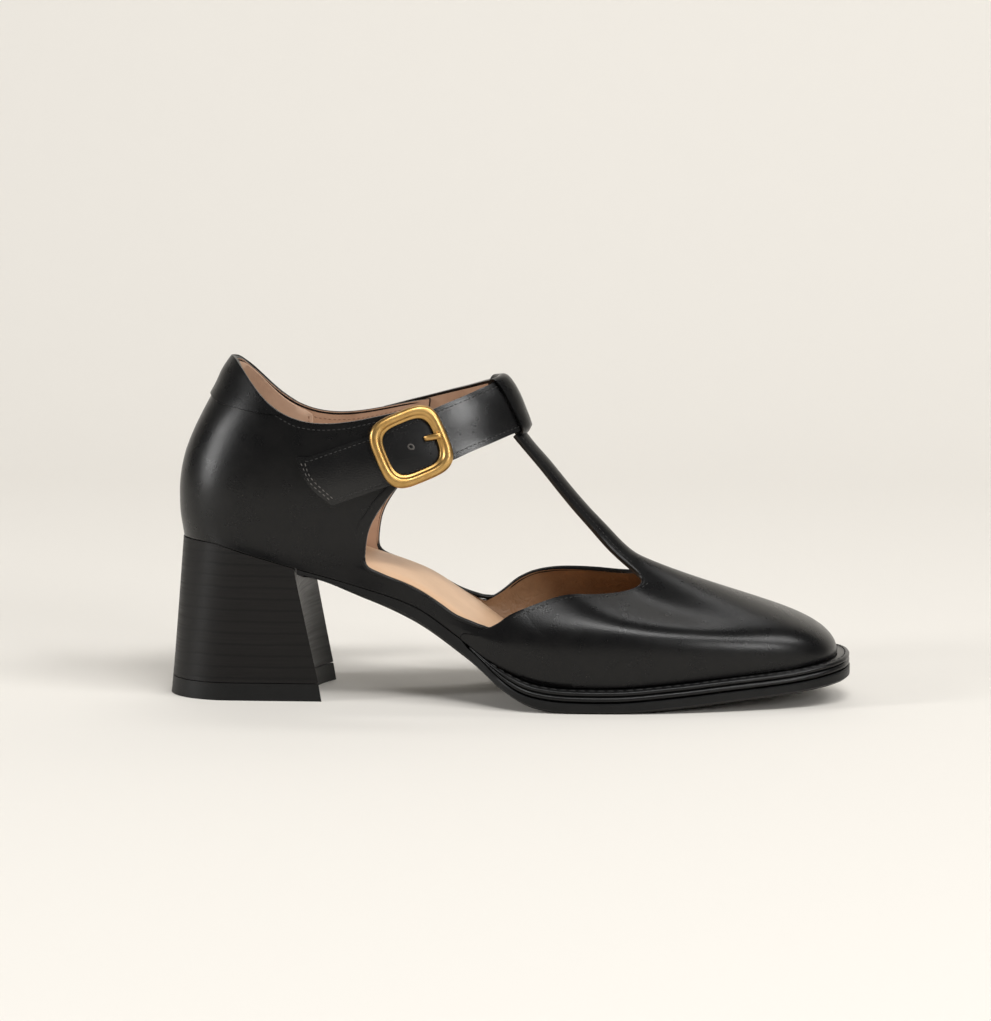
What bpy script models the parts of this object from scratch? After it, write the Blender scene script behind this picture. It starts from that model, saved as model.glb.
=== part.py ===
"""T strap shoe with a block heel: a right shoe, in metres, +X to the toe, +Y to the inner side, +Z up."""

import math

import bmesh
import bpy
import numpy as np

# Driving sizes

SHOE_LENGTH = 0.2505
BALL_WIDTH = 0.077
ANKLE_WIDTH = 0.054
SEAT_RISE = 0.050
BACK_HEIGHT = 0.066
TOE_SPRING = 0.0085
SOLE_STACK = 0.0085
WELT_THICKNESS = 0.0040
WELT_MARGIN = 0.0044
BEAD_DEPTH = 0.0011
UPPER_WALL = 0.0018
WAIST_WALL_HEIGHT = 0.0070
WAIST_STEP = 0.0006
THROAT_HEIGHT = 0.0355
T_BAR_WIDTH = 0.0140
THROAT_WIDTH = 0.023
INSOLE_THICKNESS = 0.0072
INSOLE_FORE_THICKNESS = 0.0045
INSOLE_CROWN = 0.0008
INSOLE_TOE_EASE = 0.0018
TOPLIFT_THICKNESS = 0.0064
HEEL_BASE_LENGTH = 0.0585
HEEL_BASE_WIDTH = 0.047
HEEL_BACK_RADIUS = 0.025
HEEL_TOP_FRONT = 0.196
BREAST_HOLLOW = 0.0065
STRAP_WIDTH = 0.0178
STRAP_THICKNESS = 0.0018
STRAP_END_SLANT = 0.0120
LOOP_WALL = 0.0012
LOOP_WIDTH = 0.0150
TAB_THICKNESS = 0.0010
BUCKLE_LENGTH = 0.0274
BUCKLE_HEIGHT = 0.0268
BUCKLE_BAR = 0.0044
BUCKLE_THICKNESS = 0.0026
BUCKLE_PLACE = 0.0474
BUCKLE_LIFT = 0.0009
PRONG_WIDTH = 0.0024
PRONG_LENGTH = 0.0042
FIT_GAP = 0.0003

# Shape of the last, in shares of the sizes above. STATION is a share of SHOE_LENGTH from the back of the heel.

# station, rise of the upper's lower edge and of the sole's underside (of SEAT_RISE),
# toe spring of the same two lines (of TOE_SPRING)
PITCH_ROWS = [
    (0.000, 1.000, 0.920, 0.00, 0.00),
    (0.070, 0.986, 0.920, 0.00, 0.00),
    (0.120, 0.924, 0.915, 0.00, 0.00),
    (0.200, 0.816, 0.925, 0.00, 0.00),
    (0.300, 0.676, 0.765, 0.00, 0.00),
    (0.370, 0.556, 0.608, 0.00, 0.00),
    (0.440, 0.330, 0.374, 0.00, 0.00),
    (0.500, 0.122, 0.140, 0.00, 0.00),
    (0.550, 0.028, 0.026, 0.00, 0.00),
    (0.590, 0.006, 0.000, 0.00, 0.00),
    (0.660, 0.000, 0.000, 0.02, 0.00),
    (0.740, 0.000, 0.000, 0.20, 0.17),
    (0.820, 0.000, 0.000, 0.44, 0.42),
    (0.920, 0.000, 0.000, 0.72, 0.72),
    (1.000, 0.000, 0.000, 1.08, 1.02),
]

# station, half width of the upper's lower edge on the outer and on the inner side (of half BALL_WIDTH)
OUTLINE_ROWS = [
    (0.0200, 0.000, 0.000),
    (0.0240, 0.165, 0.165),
    (0.0370, 0.325, 0.325),
    (0.0720, 0.540, 0.540),
    (0.1270, 0.665, 0.665),
    (0.1870, 0.705, 0.700),
    (0.2460, 0.710, 0.675),
    (0.2980, 0.715, 0.640),
    (0.3650, 0.750, 0.610),
    (0.4410, 0.845, 0.665),
    (0.5040, 0.935, 0.770),
    (0.5840, 1.000, 0.920),
    (0.6630, 0.995, 1.000),
    (0.7430, 0.945, 0.985),
    (0.8220, 0.845, 0.890),
    (0.9000, 0.700, 0.730),
    (0.9470, 0.560, 0.575),
    (0.9710, 0.400, 0.405),
    (0.9800, 0.230, 0.230),
    (0.9830, 0.000, 0.000),
]

# level above the heel seat (of BACK_HEIGHT), station of the back, of the widest place and of the front,
# width (of ANKLE_WIDTH), fullness of the back half: one row for each level section of the heel and ankle
RING_ROWS = [
    (-0.280, 0.0190, 0.2180, 0.8390, 0.970, 2.30),
    (-0.160, 0.0190, 0.2180, 0.7225, 0.980, 2.30),
    (-0.050, 0.0180, 0.2180, 0.6740, 0.990, 2.30),
    (0.050, 0.0155, 0.2180, 0.6485, 1.010, 2.30),
    (0.150, 0.0135, 0.2200, 0.6225, 1.030, 2.30),
    (0.280, 0.0145, 0.2220, 0.5925, 1.045, 2.30),
    (0.430, 0.0210, 0.2250, 0.5605, 1.030, 2.30),
    (0.580, 0.0355, 0.2300, 0.5260, 0.990, 2.27),
    (0.680, 0.0485, 0.2350, 0.5140, 0.965, 2.20),
    (0.770, 0.0610, 0.2400, 0.5050, 0.935, 2.06),
    (0.850, 0.0730, 0.2430, 0.4930, 0.905, 1.90),
    (0.920, 0.0810, 0.2460, 0.4790, 0.875, 1.76),
    (1.000, 0.0960, 0.2500, 0.4660, 0.840, 1.66),
]
FRONT_FULLNESS = 1.8

# station, level of the collar's edge (of BACK_HEIGHT above the seat)
COLLAR_ROWS = [
    (0.0900, 1.000),
    (0.1000, 0.995),
    (0.1150, 0.945),
    (0.1350, 0.855),
    (0.1570, 0.765),
    (0.1780, 0.708),
    (0.2070, 0.662),
    (0.2380, 0.650),
    (0.2680, 0.656),
    (0.3000, 0.680),
    (0.3300, 0.706),
    (0.3800, 0.742),
    (0.4500, 0.790),
]

# level, station of the quarter's front edge
QUARTER_EDGE_ROWS = [
    (-0.250, 0.2980),
    (-0.023, 0.3000),
    (0.068, 0.3040),
    (0.129, 0.3100),
    (0.174, 0.3185),
    (0.235, 0.3290),
    (0.300, 0.3440),
    (0.386, 0.3600),
    (0.500, 0.3700),
    (0.745, 0.3800),
]

# share along the vamp's topline, station, half width (of half BALL_WIDTH) and height above the upper's lower
# edge (of THROAT_HEIGHT) on the outer side, then the same three on the inner side
TOPLINE_ROWS = [
    (0.00, 0.4660, 0.885, 0.230, 0.4570, 0.695, 0.240),
    (0.12, 0.4880, 0.895, 0.400, 0.4800, 0.735, 0.450),
    (0.25, 0.5120, 0.885, 0.605, 0.5080, 0.765, 0.720),
    (0.40, 0.5530, 0.830, 0.815, 0.5420, 0.770, 0.910),
    (0.55, 0.5950, 0.740, 0.920, 0.5820, 0.720, 0.985),
    (0.72, 0.6390, 0.590, 0.900, 0.6290, 0.595, 1.000),
    (0.88, 0.6790, 0.400, 0.905, 0.6690, 0.410, 1.000),
    (1.00, 0.7000, 0.299, 0.975, 0.6940, 0.299, 1.015),
]

# share along the vamp from its waist end to the toe's middle, then of BALL_WIDTH: the rise and bulge of its
# curve's lower handle, and how far the upper handle reaches to the toe, outwards and down
VAMP_ROWS = [
    (0.00, 0.060, 0.004, 0.000, 0.010, 0.050),
    (0.15, 0.175, 0.015, 0.022, 0.040, 0.105),
    (0.35, 0.255, 0.029, 0.085, 0.100, 0.145),
    (0.55, 0.270, 0.032, 0.200, 0.155, 0.165),
    (0.72, 0.250, 0.030, 0.335, 0.180, 0.185),
    (0.86, 0.218, 0.022, 0.420, 0.130, 0.190),
    (1.00, 0.190, 0.012, 0.440, 0.000, 0.185),
]

# turn from the front of the ankle (radians), level of the strap's middle on the outer and on the inner side
STRAP_ROWS = [
    (0.000, 0.735, 0.735),
    (0.330, 0.716, 0.724),
    (0.720, 0.645, 0.672),
    (1.060, 0.530, 0.600),
    (1.240, 0.458, 0.553),
    (1.570, 0.329, 0.480),
]

# station, level of the back tab's lower edge
TAB_SEAM_ROWS = [
    (0.0600, 0.800),
    (0.0830, 0.748),
    (0.1100, 0.728),
    (0.1470, 0.706),
    (0.1780, 0.698),
    (0.2000, 0.690),
]

# the welt's two beads: inset (of BEAD_DEPTH), height (of the welt's thickness)
BEAD_ROWS = [
    (0.90, 0.00),
    (0.10, 0.12),
    (0.00, 0.27),
    (0.25, 0.43),
    (1.00, 0.52),
    (0.25, 0.61),
    (0.00, 0.76),
    (0.20, 0.90),
    (0.90, 1.00),
]

# the buckle's bar: inset from the outer edge (of BUCKLE_BAR), lift (of BUCKLE_THICKNESS)
BAR_ROWS = [
    (0.00, 0.00),
    (0.00, 0.55),
    (0.16, 0.92),
    (0.42, 1.00),
    (0.68, 0.88),
    (0.82, 0.60),
    (1.00, 0.50),
    (1.00, 0.00),
]

REAR_COLUMNS = 13
WAIST_COLUMNS = 5
VAMP_COLUMNS = 14
T_BAR_COLUMNS = 3
LOWER_ROWS = 9
UPPER_ROWS = 11
WAIST_LEVEL = 0.30
WELT_START = 0.452
WELT_LEAD = 0.012
WELT_FADE = 0.075
MARGIN_START = 0.445
MARGIN_FADE = 0.09
SOLE_CHAMFER = 0.0012
WAIST_CHAMFER = 0.0022
INSOLE_THINS_AT = 0.44
INSOLE_THINS_OVER = 0.14
TOE_EASE_START = 0.84
TOE_EASE_OVER = 0.10
HEEL_SPINE_INSET = 0.014
BREAST_CLEARANCE = 0.0045
TAB_END = 0.178
VAMP_SLANT = 0.028
SPINE_INSET = 0.022
LOOP_STEPS = 12
STRAP_OUTER_TURN = -1.585
STRAP_INNER_TURN = 1.25


def clear_scene():
    for obj in list(bpy.data.objects):
        bpy.data.objects.remove(obj, do_unlink=True)


def steady(rows, at, column):
    """A table's column at one or more places: a cubic between rows that never overshoots them."""
    table = np.array(rows, float)
    x = table[:, 0]
    y = table[:, column]
    step = np.diff(x)
    slope = np.diff(y) / step
    tangent = np.zeros(len(x))
    for i in range(1, len(x) - 1):
        if slope[i - 1] * slope[i] > 0:
            before = 2 * step[i] + step[i - 1]
            after = step[i] + 2 * step[i - 1]
            tangent[i] = (before + after) / (before / slope[i - 1] + after / slope[i])
    tangent[0] = slope[0]
    tangent[-1] = slope[-1]
    at = np.clip(np.asarray(at, float), x[0], x[-1])
    i = np.clip(np.searchsorted(x, at, side="right") - 1, 0, len(x) - 2)
    t = (at - x[i]) / step[i]
    return (
        y[i] * (1 + 2 * t) * (1 - t) ** 2
        + tangent[i] * step[i] * t * (1 - t) ** 2
        + y[i + 1] * t * t * (3 - 2 * t)
        + tangent[i + 1] * step[i] * t * t * (t - 1)
    )


def through(points, count):
    """Points evenly spaced along a smooth curve through the given points."""
    points = np.array(points, float)
    ends = [2 * points[0] - points[1]], [2 * points[-1] - points[-2]]
    padded = np.concatenate([ends[0], points, ends[1]])
    steps = np.linspace(0, 1, 24, endpoint=False)[:, None]
    runs = []
    for a, b, c, d in zip(padded, padded[1:], padded[2:], padded[3:]):
        run = 2 * b + (c - a) * steps + (2 * a - 5 * b + 4 * c - d) * steps**2
        runs.append((run + (3 * b - a - 3 * c + d) * steps**3) / 2)
    dense = np.concatenate(runs + [points[-1:]])
    length = np.concatenate([[0], np.cumsum(np.linalg.norm(np.diff(dense, axis=0), axis=1))])
    even = np.linspace(0, length[-1], count)
    return np.stack([np.interp(even, length, dense[:, k]) for k in range(dense.shape[1])], -1)


def lower_edge(station):
    """Height of the upper's lower edge."""
    rise = SEAT_RISE * steady(PITCH_ROWS, station, 1)
    return SOLE_STACK + rise + TOE_SPRING * steady(PITCH_ROWS, station, 3)


def sole_underside(station):
    return SEAT_RISE * steady(PITCH_ROWS, station, 2) + TOE_SPRING * steady(PITCH_ROWS, station, 4)


def seat_height():
    return SOLE_STACK + SEAT_RISE


def outline(side, count=401):
    """One side of the upper's lower edge from the heel's back to the toe: (x, y), y signed."""
    column = 1 if side < 0 else 2
    rows = [(r[0] * SHOE_LENGTH, side * r[column] * BALL_WIDTH / 2) for r in OUTLINE_ROWS]
    return through(rows, count)


OUTLINES = {side: outline(side) for side in (-1, 1)}


def outline_share(side, station):
    """Share of the outline's length at which it passes a station."""
    curve = OUTLINES[side]
    return float(np.interp(station * SHOE_LENGTH, curve[:, 0], np.linspace(0, 1, len(curve))))


def outline_at(side, share):
    curve = OUTLINES[side]
    place = np.linspace(0, 1, len(curve))
    return np.array([np.interp(share, place, curve[:, k]) for k in (0, 1)])


def ring_sizes(height):
    """Back, widest place, front, half width and fullness of the back of the level section at a height."""
    level = (height - seat_height()) / BACK_HEIGHT
    back, middle, front = (SHOE_LENGTH * steady(RING_ROWS, level, k) for k in (1, 2, 3))
    return back, middle, front, ANKLE_WIDTH / 2 * steady(RING_ROWS, level, 4), steady(RING_ROWS, level, 5)


def on_ring(turn, height, side):
    """Point of the heel and ankle form: turn 0 is the back, pi / 2 the widest place and pi the front."""
    back, middle, front, half, fullness = ring_sizes(height)
    behind = turn < math.pi / 2
    reach = middle - back if behind else front - middle
    power = 2 / (fullness if behind else FRONT_FULLNESS)
    across = abs(math.sin(turn)) ** power
    along = abs(math.cos(turn)) ** power
    x = middle - reach * along if behind else middle + reach * along
    return np.array([x, side * half * across, height])


def ring_normal(turn, height, side):
    nudge = 0.004
    low = max(turn - nudge, 0.0001)
    high = min(turn + nudge, math.pi - 0.0001)
    along = on_ring(high, height, side) - on_ring(low, height, side)
    if turn + nudge > math.pi:
        along = np.array([0.0, -side, 0.0])
    if turn - nudge < 0:
        along = np.array([0.0, side, 0.0])
    up = on_ring(turn, height + 0.0005, side) - on_ring(turn, height - 0.0005, side)
    normal = np.cross(up, along) * side
    return normal / np.linalg.norm(normal)


def ring_turn_at(x, height):
    """The turn at which the ring of a height passes x."""
    back, middle, front, _, fullness = ring_sizes(height)
    if x < middle:
        share = min((middle - x) / (middle - back), 1.0)
        return math.acos(share ** (fullness / 2))
    share = min((x - middle) / (front - middle), 1.0)
    return math.pi - math.acos(share ** (FRONT_FULLNESS / 2))


def ring_turn_across(half, height):
    """The turn near the front at which the ring of a height is this far from its middle."""
    share = min(half / ring_sizes(height)[3], 1.0)
    return math.pi - math.asin(share ** (FRONT_FULLNESS / 2))


def lift_off(turn, height, side, offset):
    return on_ring(turn, height, side) + ring_normal(turn, height, side) * offset


# The upper's columns and rows


def rear_column(share, side):
    """One column of the quarter, from the lower edge to the collar, at a share of the way to its front edge."""
    edge_share = outline_share(side, QUARTER_EDGE_ROWS[0][1])
    foot = outline_at(side, edge_share * share)
    bottom = float(lower_edge(foot[0] / SHOE_LENGTH))
    front_bottom = float(lower_edge(QUARTER_EDGE_ROWS[0][1]))
    front_top = seat_height() + BACK_HEIGHT * float(steady(COLLAR_ROWS, QUARTER_EDGE_ROWS[-1][1], 1))
    low_share = WAIST_LEVEL + share * (WAIST_WALL_HEIGHT / (front_top - front_bottom) - WAIST_LEVEL)
    top = seat_height() + BACK_HEIGHT * 0.8
    for _ in range(12):
        edge = ring_turn_at(SHOE_LENGTH * QUARTER_EDGE_ROWS[-1][1], top)
        x = on_ring(share * edge, top, side)[0]
        top = seat_height() + BACK_HEIGHT * float(steady(COLLAR_ROWS, x / SHOE_LENGTH, 1))
    column = []
    for row in range(LOWER_ROWS + UPPER_ROWS + 1):
        if row <= LOWER_ROWS:
            climb = low_share * row / LOWER_ROWS
        else:
            climb = low_share + (1 - low_share) * (row - LOWER_ROWS) / UPPER_ROWS
        height = bottom + (top - bottom) * climb
        edge_height = front_bottom + (front_top - front_bottom) * climb
        level = (edge_height - seat_height()) / BACK_HEIGHT
        edge = ring_turn_at(SHOE_LENGTH * float(steady(QUARTER_EDGE_ROWS, level, 1)), edge_height)
        point = on_ring(share * edge, height, side)
        if row == 0:
            shift = np.array([foot[0], foot[1], bottom]) - point
        point = point + shift * (1 - climb) ** 5
        column.append(point)
    return column


def waist_column(share, side):
    """One column of the low wall beside the insole, between the quarter and the vamp."""
    start = outline_share(side, QUARTER_EDGE_ROWS[0][1])
    end = vamp_start(side)
    foot = outline_at(side, start + (end - start) * share)
    top = topline(0.0, side)
    first = rear_column(1.0, side)[: LOWER_ROWS + 1]
    foot_first = outline_at(side, start)
    foot_last = outline_at(side, end)
    column = []
    for row in range(LOWER_ROWS + 1):
        climb = row / LOWER_ROWS
        from_rear = first[row][:2] - foot_first
        from_vamp = (top[:2] - foot_last) * climb
        lean = from_rear * (1 - share) + from_vamp * share
        x = foot[0] + lean[0]
        y = foot[1] + lean[1] - side * WAIST_STEP * math.sin(math.pi * share)
        column.append(np.array([x, y, float(lower_edge(x / SHOE_LENGTH)) + WAIST_WALL_HEIGHT * climb]))
    return column


def vamp_start(side):
    column = 1 if side < 0 else 4
    return outline_share(side, TOPLINE_ROWS[0][column] - VAMP_SLANT)


def topline(share, side):
    """Point of the vamp's top edge, from its waist end to the throat."""
    columns = (1, 2, 3) if side < 0 else (4, 5, 6)
    station, half, height = (float(steady(TOPLINE_ROWS, share, k)) for k in columns)
    x = station * SHOE_LENGTH
    return np.array([x, side * half * BALL_WIDTH / 2, float(lower_edge(station)) + THROAT_HEIGHT * height])


def throat_heights(side):
    """Heights of the throat's edge beside the T bar, and of the crest at the foot of the T bar."""
    edge = topline(1.0, side)[2]
    crest = (topline(1.0, -1)[2] + topline(1.0, 1)[2]) / 2 + THROAT_WIDTH * 0.31
    return edge, crest


def t_bar_point(across, climb, side):
    """Point of the T bar: across 0 is its edge and 1 its crest, climb 0 the throat and 1 its top."""
    edge, crest = throat_heights(side)
    flare = (1 - climb) ** 12
    half = T_BAR_WIDTH / 2 + (THROAT_WIDTH - T_BAR_WIDTH) / 2 * flare
    low = edge + (t_bar_top(T_BAR_WIDTH / 2, side) - edge) * climb
    high = crest + (t_bar_top(0.0, side) - crest) * climb
    height = low + (high - low) * math.sin(across * math.pi / 2)
    turn = ring_turn_across(half * (1 - across), height)
    return on_ring(turn, height, side)


def t_bar_top(half, side):
    """Height of the T bar's end, just under its loop, at a distance from its middle."""
    signed = side * (math.pi - ring_turn_across(half, seat_height() + BACK_HEIGHT * STRAP_ROWS[0][1]))
    middle = strap_turn_and_height(signed)[1]
    return middle - STRAP_WIDTH / 2 - LOOP_WALL - 3 * FIT_GAP


def vamp_column(share, side):
    """One column of the vamp, from the lower edge to the topline, and on up the T bar."""
    t_bar_share = VAMP_COLUMNS / (VAMP_COLUMNS + T_BAR_COLUMNS)
    start = vamp_start(side)
    foot = outline_at(side, start + (1 - start) * share)
    base = np.array([foot[0], foot[1], float(lower_edge(foot[0] / SHOE_LENGTH))])
    if share <= t_bar_share:
        end = topline(share / t_bar_share, side)
    else:
        end = t_bar_point((share - t_bar_share) / (1 - t_bar_share), 0.0, side)
    rise, bulge, reach, outwards, down = (float(steady(VAMP_ROWS, share, k)) for k in range(1, 6))
    ahead = outline_at(side, min(start + (1 - start) * share + 0.004, 1.0))
    behind = outline_at(side, start + (1 - start) * share - 0.004)
    tangent = ahead - behind
    if share > 0.999:
        tangent = np.array([0.0, -side])
    out = np.array([tangent[1], -tangent[0]]) * -side
    out = out / np.linalg.norm(out)
    lower = base + np.array([out[0] * bulge * BALL_WIDTH, out[1] * bulge * BALL_WIDTH, rise * BALL_WIDTH])
    upper = end + np.array([reach, side * outwards, -down]) * BALL_WIDTH
    column = []
    for row in range(LOWER_ROWS + 1):
        t = (row / LOWER_ROWS) ** (1 + 0.25 * share)
        point = base * (1 - t) ** 3 + 3 * lower * t * (1 - t) ** 2 + 3 * upper * t * t * (1 - t) + end * t**3
        column.append(point)
    if share >= t_bar_share - 1e-6:
        across = (share - t_bar_share) / (1 - t_bar_share)
        column += [t_bar_point(across, (row / UPPER_ROWS) ** 1.25, side) for row in range(1, UPPER_ROWS + 1)]
    return column


def side_columns(side):
    rear = [rear_column(i / REAR_COLUMNS, side) for i in range(REAR_COLUMNS + 1)]
    waist = [waist_column(i / WAIST_COLUMNS, side) for i in range(1, WAIST_COLUMNS)]
    count = VAMP_COLUMNS + T_BAR_COLUMNS
    vamp = [vamp_column(i / count, side) for i in range(count + 1)]
    return rear + waist + vamp


def upper_shell():
    """Points, cells and the points of the lower edge, of the grid round the whole shoe."""
    outer_side = side_columns(-1)
    inner_side = side_columns(1)
    columns = outer_side + inner_side[-2:0:-1]
    rows = LOWER_ROWS + UPPER_ROWS + 1
    index = {}
    points = []
    for i, column in enumerate(columns):
        for j, point in enumerate(column):
            index[i, j] = len(points)
            points.append(point)
    cells = []
    for i in range(len(columns)):
        k = (i + 1) % len(columns)
        for j in range(rows - 1):
            corners = [(i, j), (k, j), (k, j + 1), (i, j + 1)]
            if all(corner in index for corner in corners):
                cells.append([index[corner] for corner in corners])
    feet = [index[i, 0] for i in range(len(columns))]
    return np.array(points), np.array(cells), feet


def vertex_normals(points, cells):
    across = points[cells[:, 2]] - points[cells[:, 0]]
    up = points[cells[:, 3]] - points[cells[:, 1]]
    normal = np.cross(across, up)
    total = np.zeros_like(points)
    for k in range(4):
        np.add.at(total, cells[:, k], normal)
    return total / np.linalg.norm(total, axis=1)[:, None]


def walled(points, cells, outward, inward, level=()):
    """A closed solid from an open grid, walled along its normals, which lie flat at the level points."""
    normal = vertex_normals(points, cells)
    for i in level:
        normal[i, 2] = 0.0
        normal[i] = normal[i] / np.linalg.norm(normal[i])
    count = len(points)
    both = np.concatenate([points + normal * outward, points - normal * inward])
    faces = [list(cell) for cell in cells] + [[c + count for c in cell[::-1]] for cell in cells]
    edges = {}
    for cell in cells:
        for a, b in zip(cell, np.roll(cell, -1)):
            edges[int(a), int(b)] = True
    for a, b in edges:
        if (b, a) not in edges:
            faces.append([b, a, a + count, b + count])
    return both, faces


# Turning grids and loops into objects


def make_material(name, colour, roughness, metallic=0.0):
    material = bpy.data.materials.new(name)
    material.use_nodes = True
    shader = material.node_tree.nodes["Principled BSDF"]
    shader.inputs["Base Color"].default_value = (*colour, 1.0)
    shader.inputs["Roughness"].default_value = roughness
    shader.inputs["Metallic"].default_value = metallic
    return material


def add_solid(name, points, faces, material, sharp_angle=40):
    """An object from points and faces: doubles merged, faces turned outwards, round parts shaded smooth."""
    mesh = bpy.data.meshes.new(name)
    mesh.from_pydata([tuple(p) for p in points], [], [list(map(int, f)) for f in faces])
    shape = bmesh.new()
    shape.from_mesh(mesh)
    bmesh.ops.remove_doubles(shape, verts=shape.verts, dist=0.00001)
    bmesh.ops.dissolve_degenerate(shape, dist=0.00001, edges=shape.edges)
    bmesh.ops.recalc_face_normals(shape, faces=shape.faces)
    if shape.calc_volume(signed=True) < 0:
        bmesh.ops.reverse_faces(shape, faces=shape.faces)
    shape.to_mesh(mesh)
    shape.free()
    mesh.shade_smooth()
    mesh.set_sharp_from_angle(angle=math.radians(sharp_angle))
    mesh.materials.append(material)
    obj = bpy.data.objects.new(name, mesh)
    bpy.context.scene.collection.objects.link(obj)
    return obj


def lofted(columns, closed=True):
    """Points and faces of a surface through columns of equally many points."""
    rows = len(columns[0])
    points = [point for column in columns for point in column]
    faces = []
    last = len(columns) if closed else len(columns) - 1
    for i in range(last):
        k = (i + 1) % len(columns)
        for j in range(rows - 1):
            faces.append([i * rows + j, k * rows + j, k * rows + j + 1, i * rows + j + 1])
    return points, faces


def swept(sections):
    """Points and faces of a tube through closed sections, with flat ends."""
    size = len(sections[0])
    points = [point for section in sections for point in section]
    faces = [list(range(size)), [len(points) - 1 - i for i in range(size)]]
    for i in range(len(sections) - 1):
        for j in range(size):
            k = (j + 1) % size
            faces.append([i * size + j, i * size + k, (i + 1) * size + k, (i + 1) * size + j])
    return points, faces


# Upper


def make_upper(leather):
    points, cells, feet = upper_shell()
    return add_solid("upper", *walled(points, cells, 0.0, UPPER_WALL, feet), leather)


def make_back_tab(leather):
    """The patch round the back of the collar, proud of the counter by its own thickness."""
    per_side = 9
    rows = 4
    columns = []
    for step in range(per_side, -per_side - 1, -1):
        side = -1 if step < 0 else 1
        share = (abs(step) / per_side) ** 1.1
        column = []
        for row in range(rows + 1):
            height = seat_height() + BACK_HEIGHT * 0.85
            for _ in range(12):
                turn = share * ring_turn_at(TAB_END * SHOE_LENGTH, height)
                station = on_ring(turn, height, side)[0] / SHOE_LENGTH
                low = float(steady(TAB_SEAM_ROWS, station, 1))
                high = float(steady(COLLAR_ROWS, station, 1))
                height = seat_height() + BACK_HEIGHT * (low + (high - low) * row / rows)
            column.append(on_ring(turn, height, side))
        columns.append(column)
    points, faces = lofted(columns, closed=False)
    solid = walled(np.array(points), np.array(faces), FIT_GAP + TAB_THICKNESS, -FIT_GAP)
    return add_solid("back_tab", *solid, leather)


# Strap, its loop and the buckle


def strap_turn_and_height(signed_turn, rise=0.0):
    """Ring turn, height and side at a turn from the ankle's front, minus on the outer side."""
    side = -1 if signed_turn < 0 else 1
    level = float(steady(STRAP_ROWS, abs(signed_turn), 1 if side < 0 else 2))
    return math.pi - abs(signed_turn), seat_height() + BACK_HEIGHT * level + rise, side


def strap_middle(signed_turn):
    turn, height, side = strap_turn_and_height(signed_turn)
    return on_ring(turn, height, side)


STRAP_TURNS = np.linspace(-1.66, 1.40, 307)
STRAP_LINE = np.array([strap_middle(turn) for turn in STRAP_TURNS])
STRAP_STEPS = np.linalg.norm(np.diff(STRAP_LINE, axis=0), axis=1)
STRAP_PLACES = np.concatenate([[0], np.cumsum(STRAP_STEPS)])
STRAP_PLACES = STRAP_PLACES - np.interp(0, STRAP_TURNS, STRAP_PLACES)


def on_strap(along, across, lift):
    """Point by its distance along the strap from the front (minus outwards), across it (up) and off the ring."""
    turn_here = float(np.interp(along, STRAP_PLACES, STRAP_TURNS))
    nudge = 0.03
    ahead = strap_middle(turn_here + nudge)
    behind = strap_middle(turn_here - nudge)
    run = math.hypot(ahead[0] - behind[0], ahead[1] - behind[1])
    slope = math.atan2(ahead[2] - behind[2], run)
    shifted = along - across * math.sin(slope)
    turn_shifted = float(np.interp(shifted, STRAP_PLACES, STRAP_TURNS))
    middle_height = strap_turn_and_height(turn_here)[1]
    turn, _, side = strap_turn_and_height(turn_shifted)
    return lift_off(turn, middle_height + across * math.cos(slope), side, lift)


def loop_places():
    return np.linspace(-LOOP_WIDTH / 2, LOOP_WIDTH / 2, LOOP_STEPS + 1)


def make_ankle_strap(leather):
    outer_end = float(np.interp(STRAP_OUTER_TURN, STRAP_TURNS, STRAP_PLACES))
    inner_end = float(np.interp(STRAP_INNER_TURN, STRAP_TURNS, STRAP_PLACES))
    step = LOOP_WIDTH / LOOP_STEPS
    front = np.linspace(-LOOP_WIDTH / 2 - step, LOOP_WIDTH / 2 + step, LOOP_STEPS + 3)
    outer_run = np.linspace(outer_end, front[0], 26)[:-1]
    inner_run = np.linspace(front[-1], inner_end, 20)[1:]
    rows = 6
    sections = []
    for place in np.concatenate([outer_run, front, inner_run]):
        fade = max(0.0, 1 - (place - outer_end) / (2 * STRAP_WIDTH))
        section = []
        for lift, order in ((FIT_GAP, range(rows + 1)), (FIT_GAP + STRAP_THICKNESS, range(rows, -1, -1))):
            for row in order:
                share = row / rows - 0.5
                section.append(on_strap(place - STRAP_END_SLANT * share * fade, STRAP_WIDTH * share, lift))
        sections.append(section)
    return add_solid("ankle_strap", *swept(sections), leather)


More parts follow.
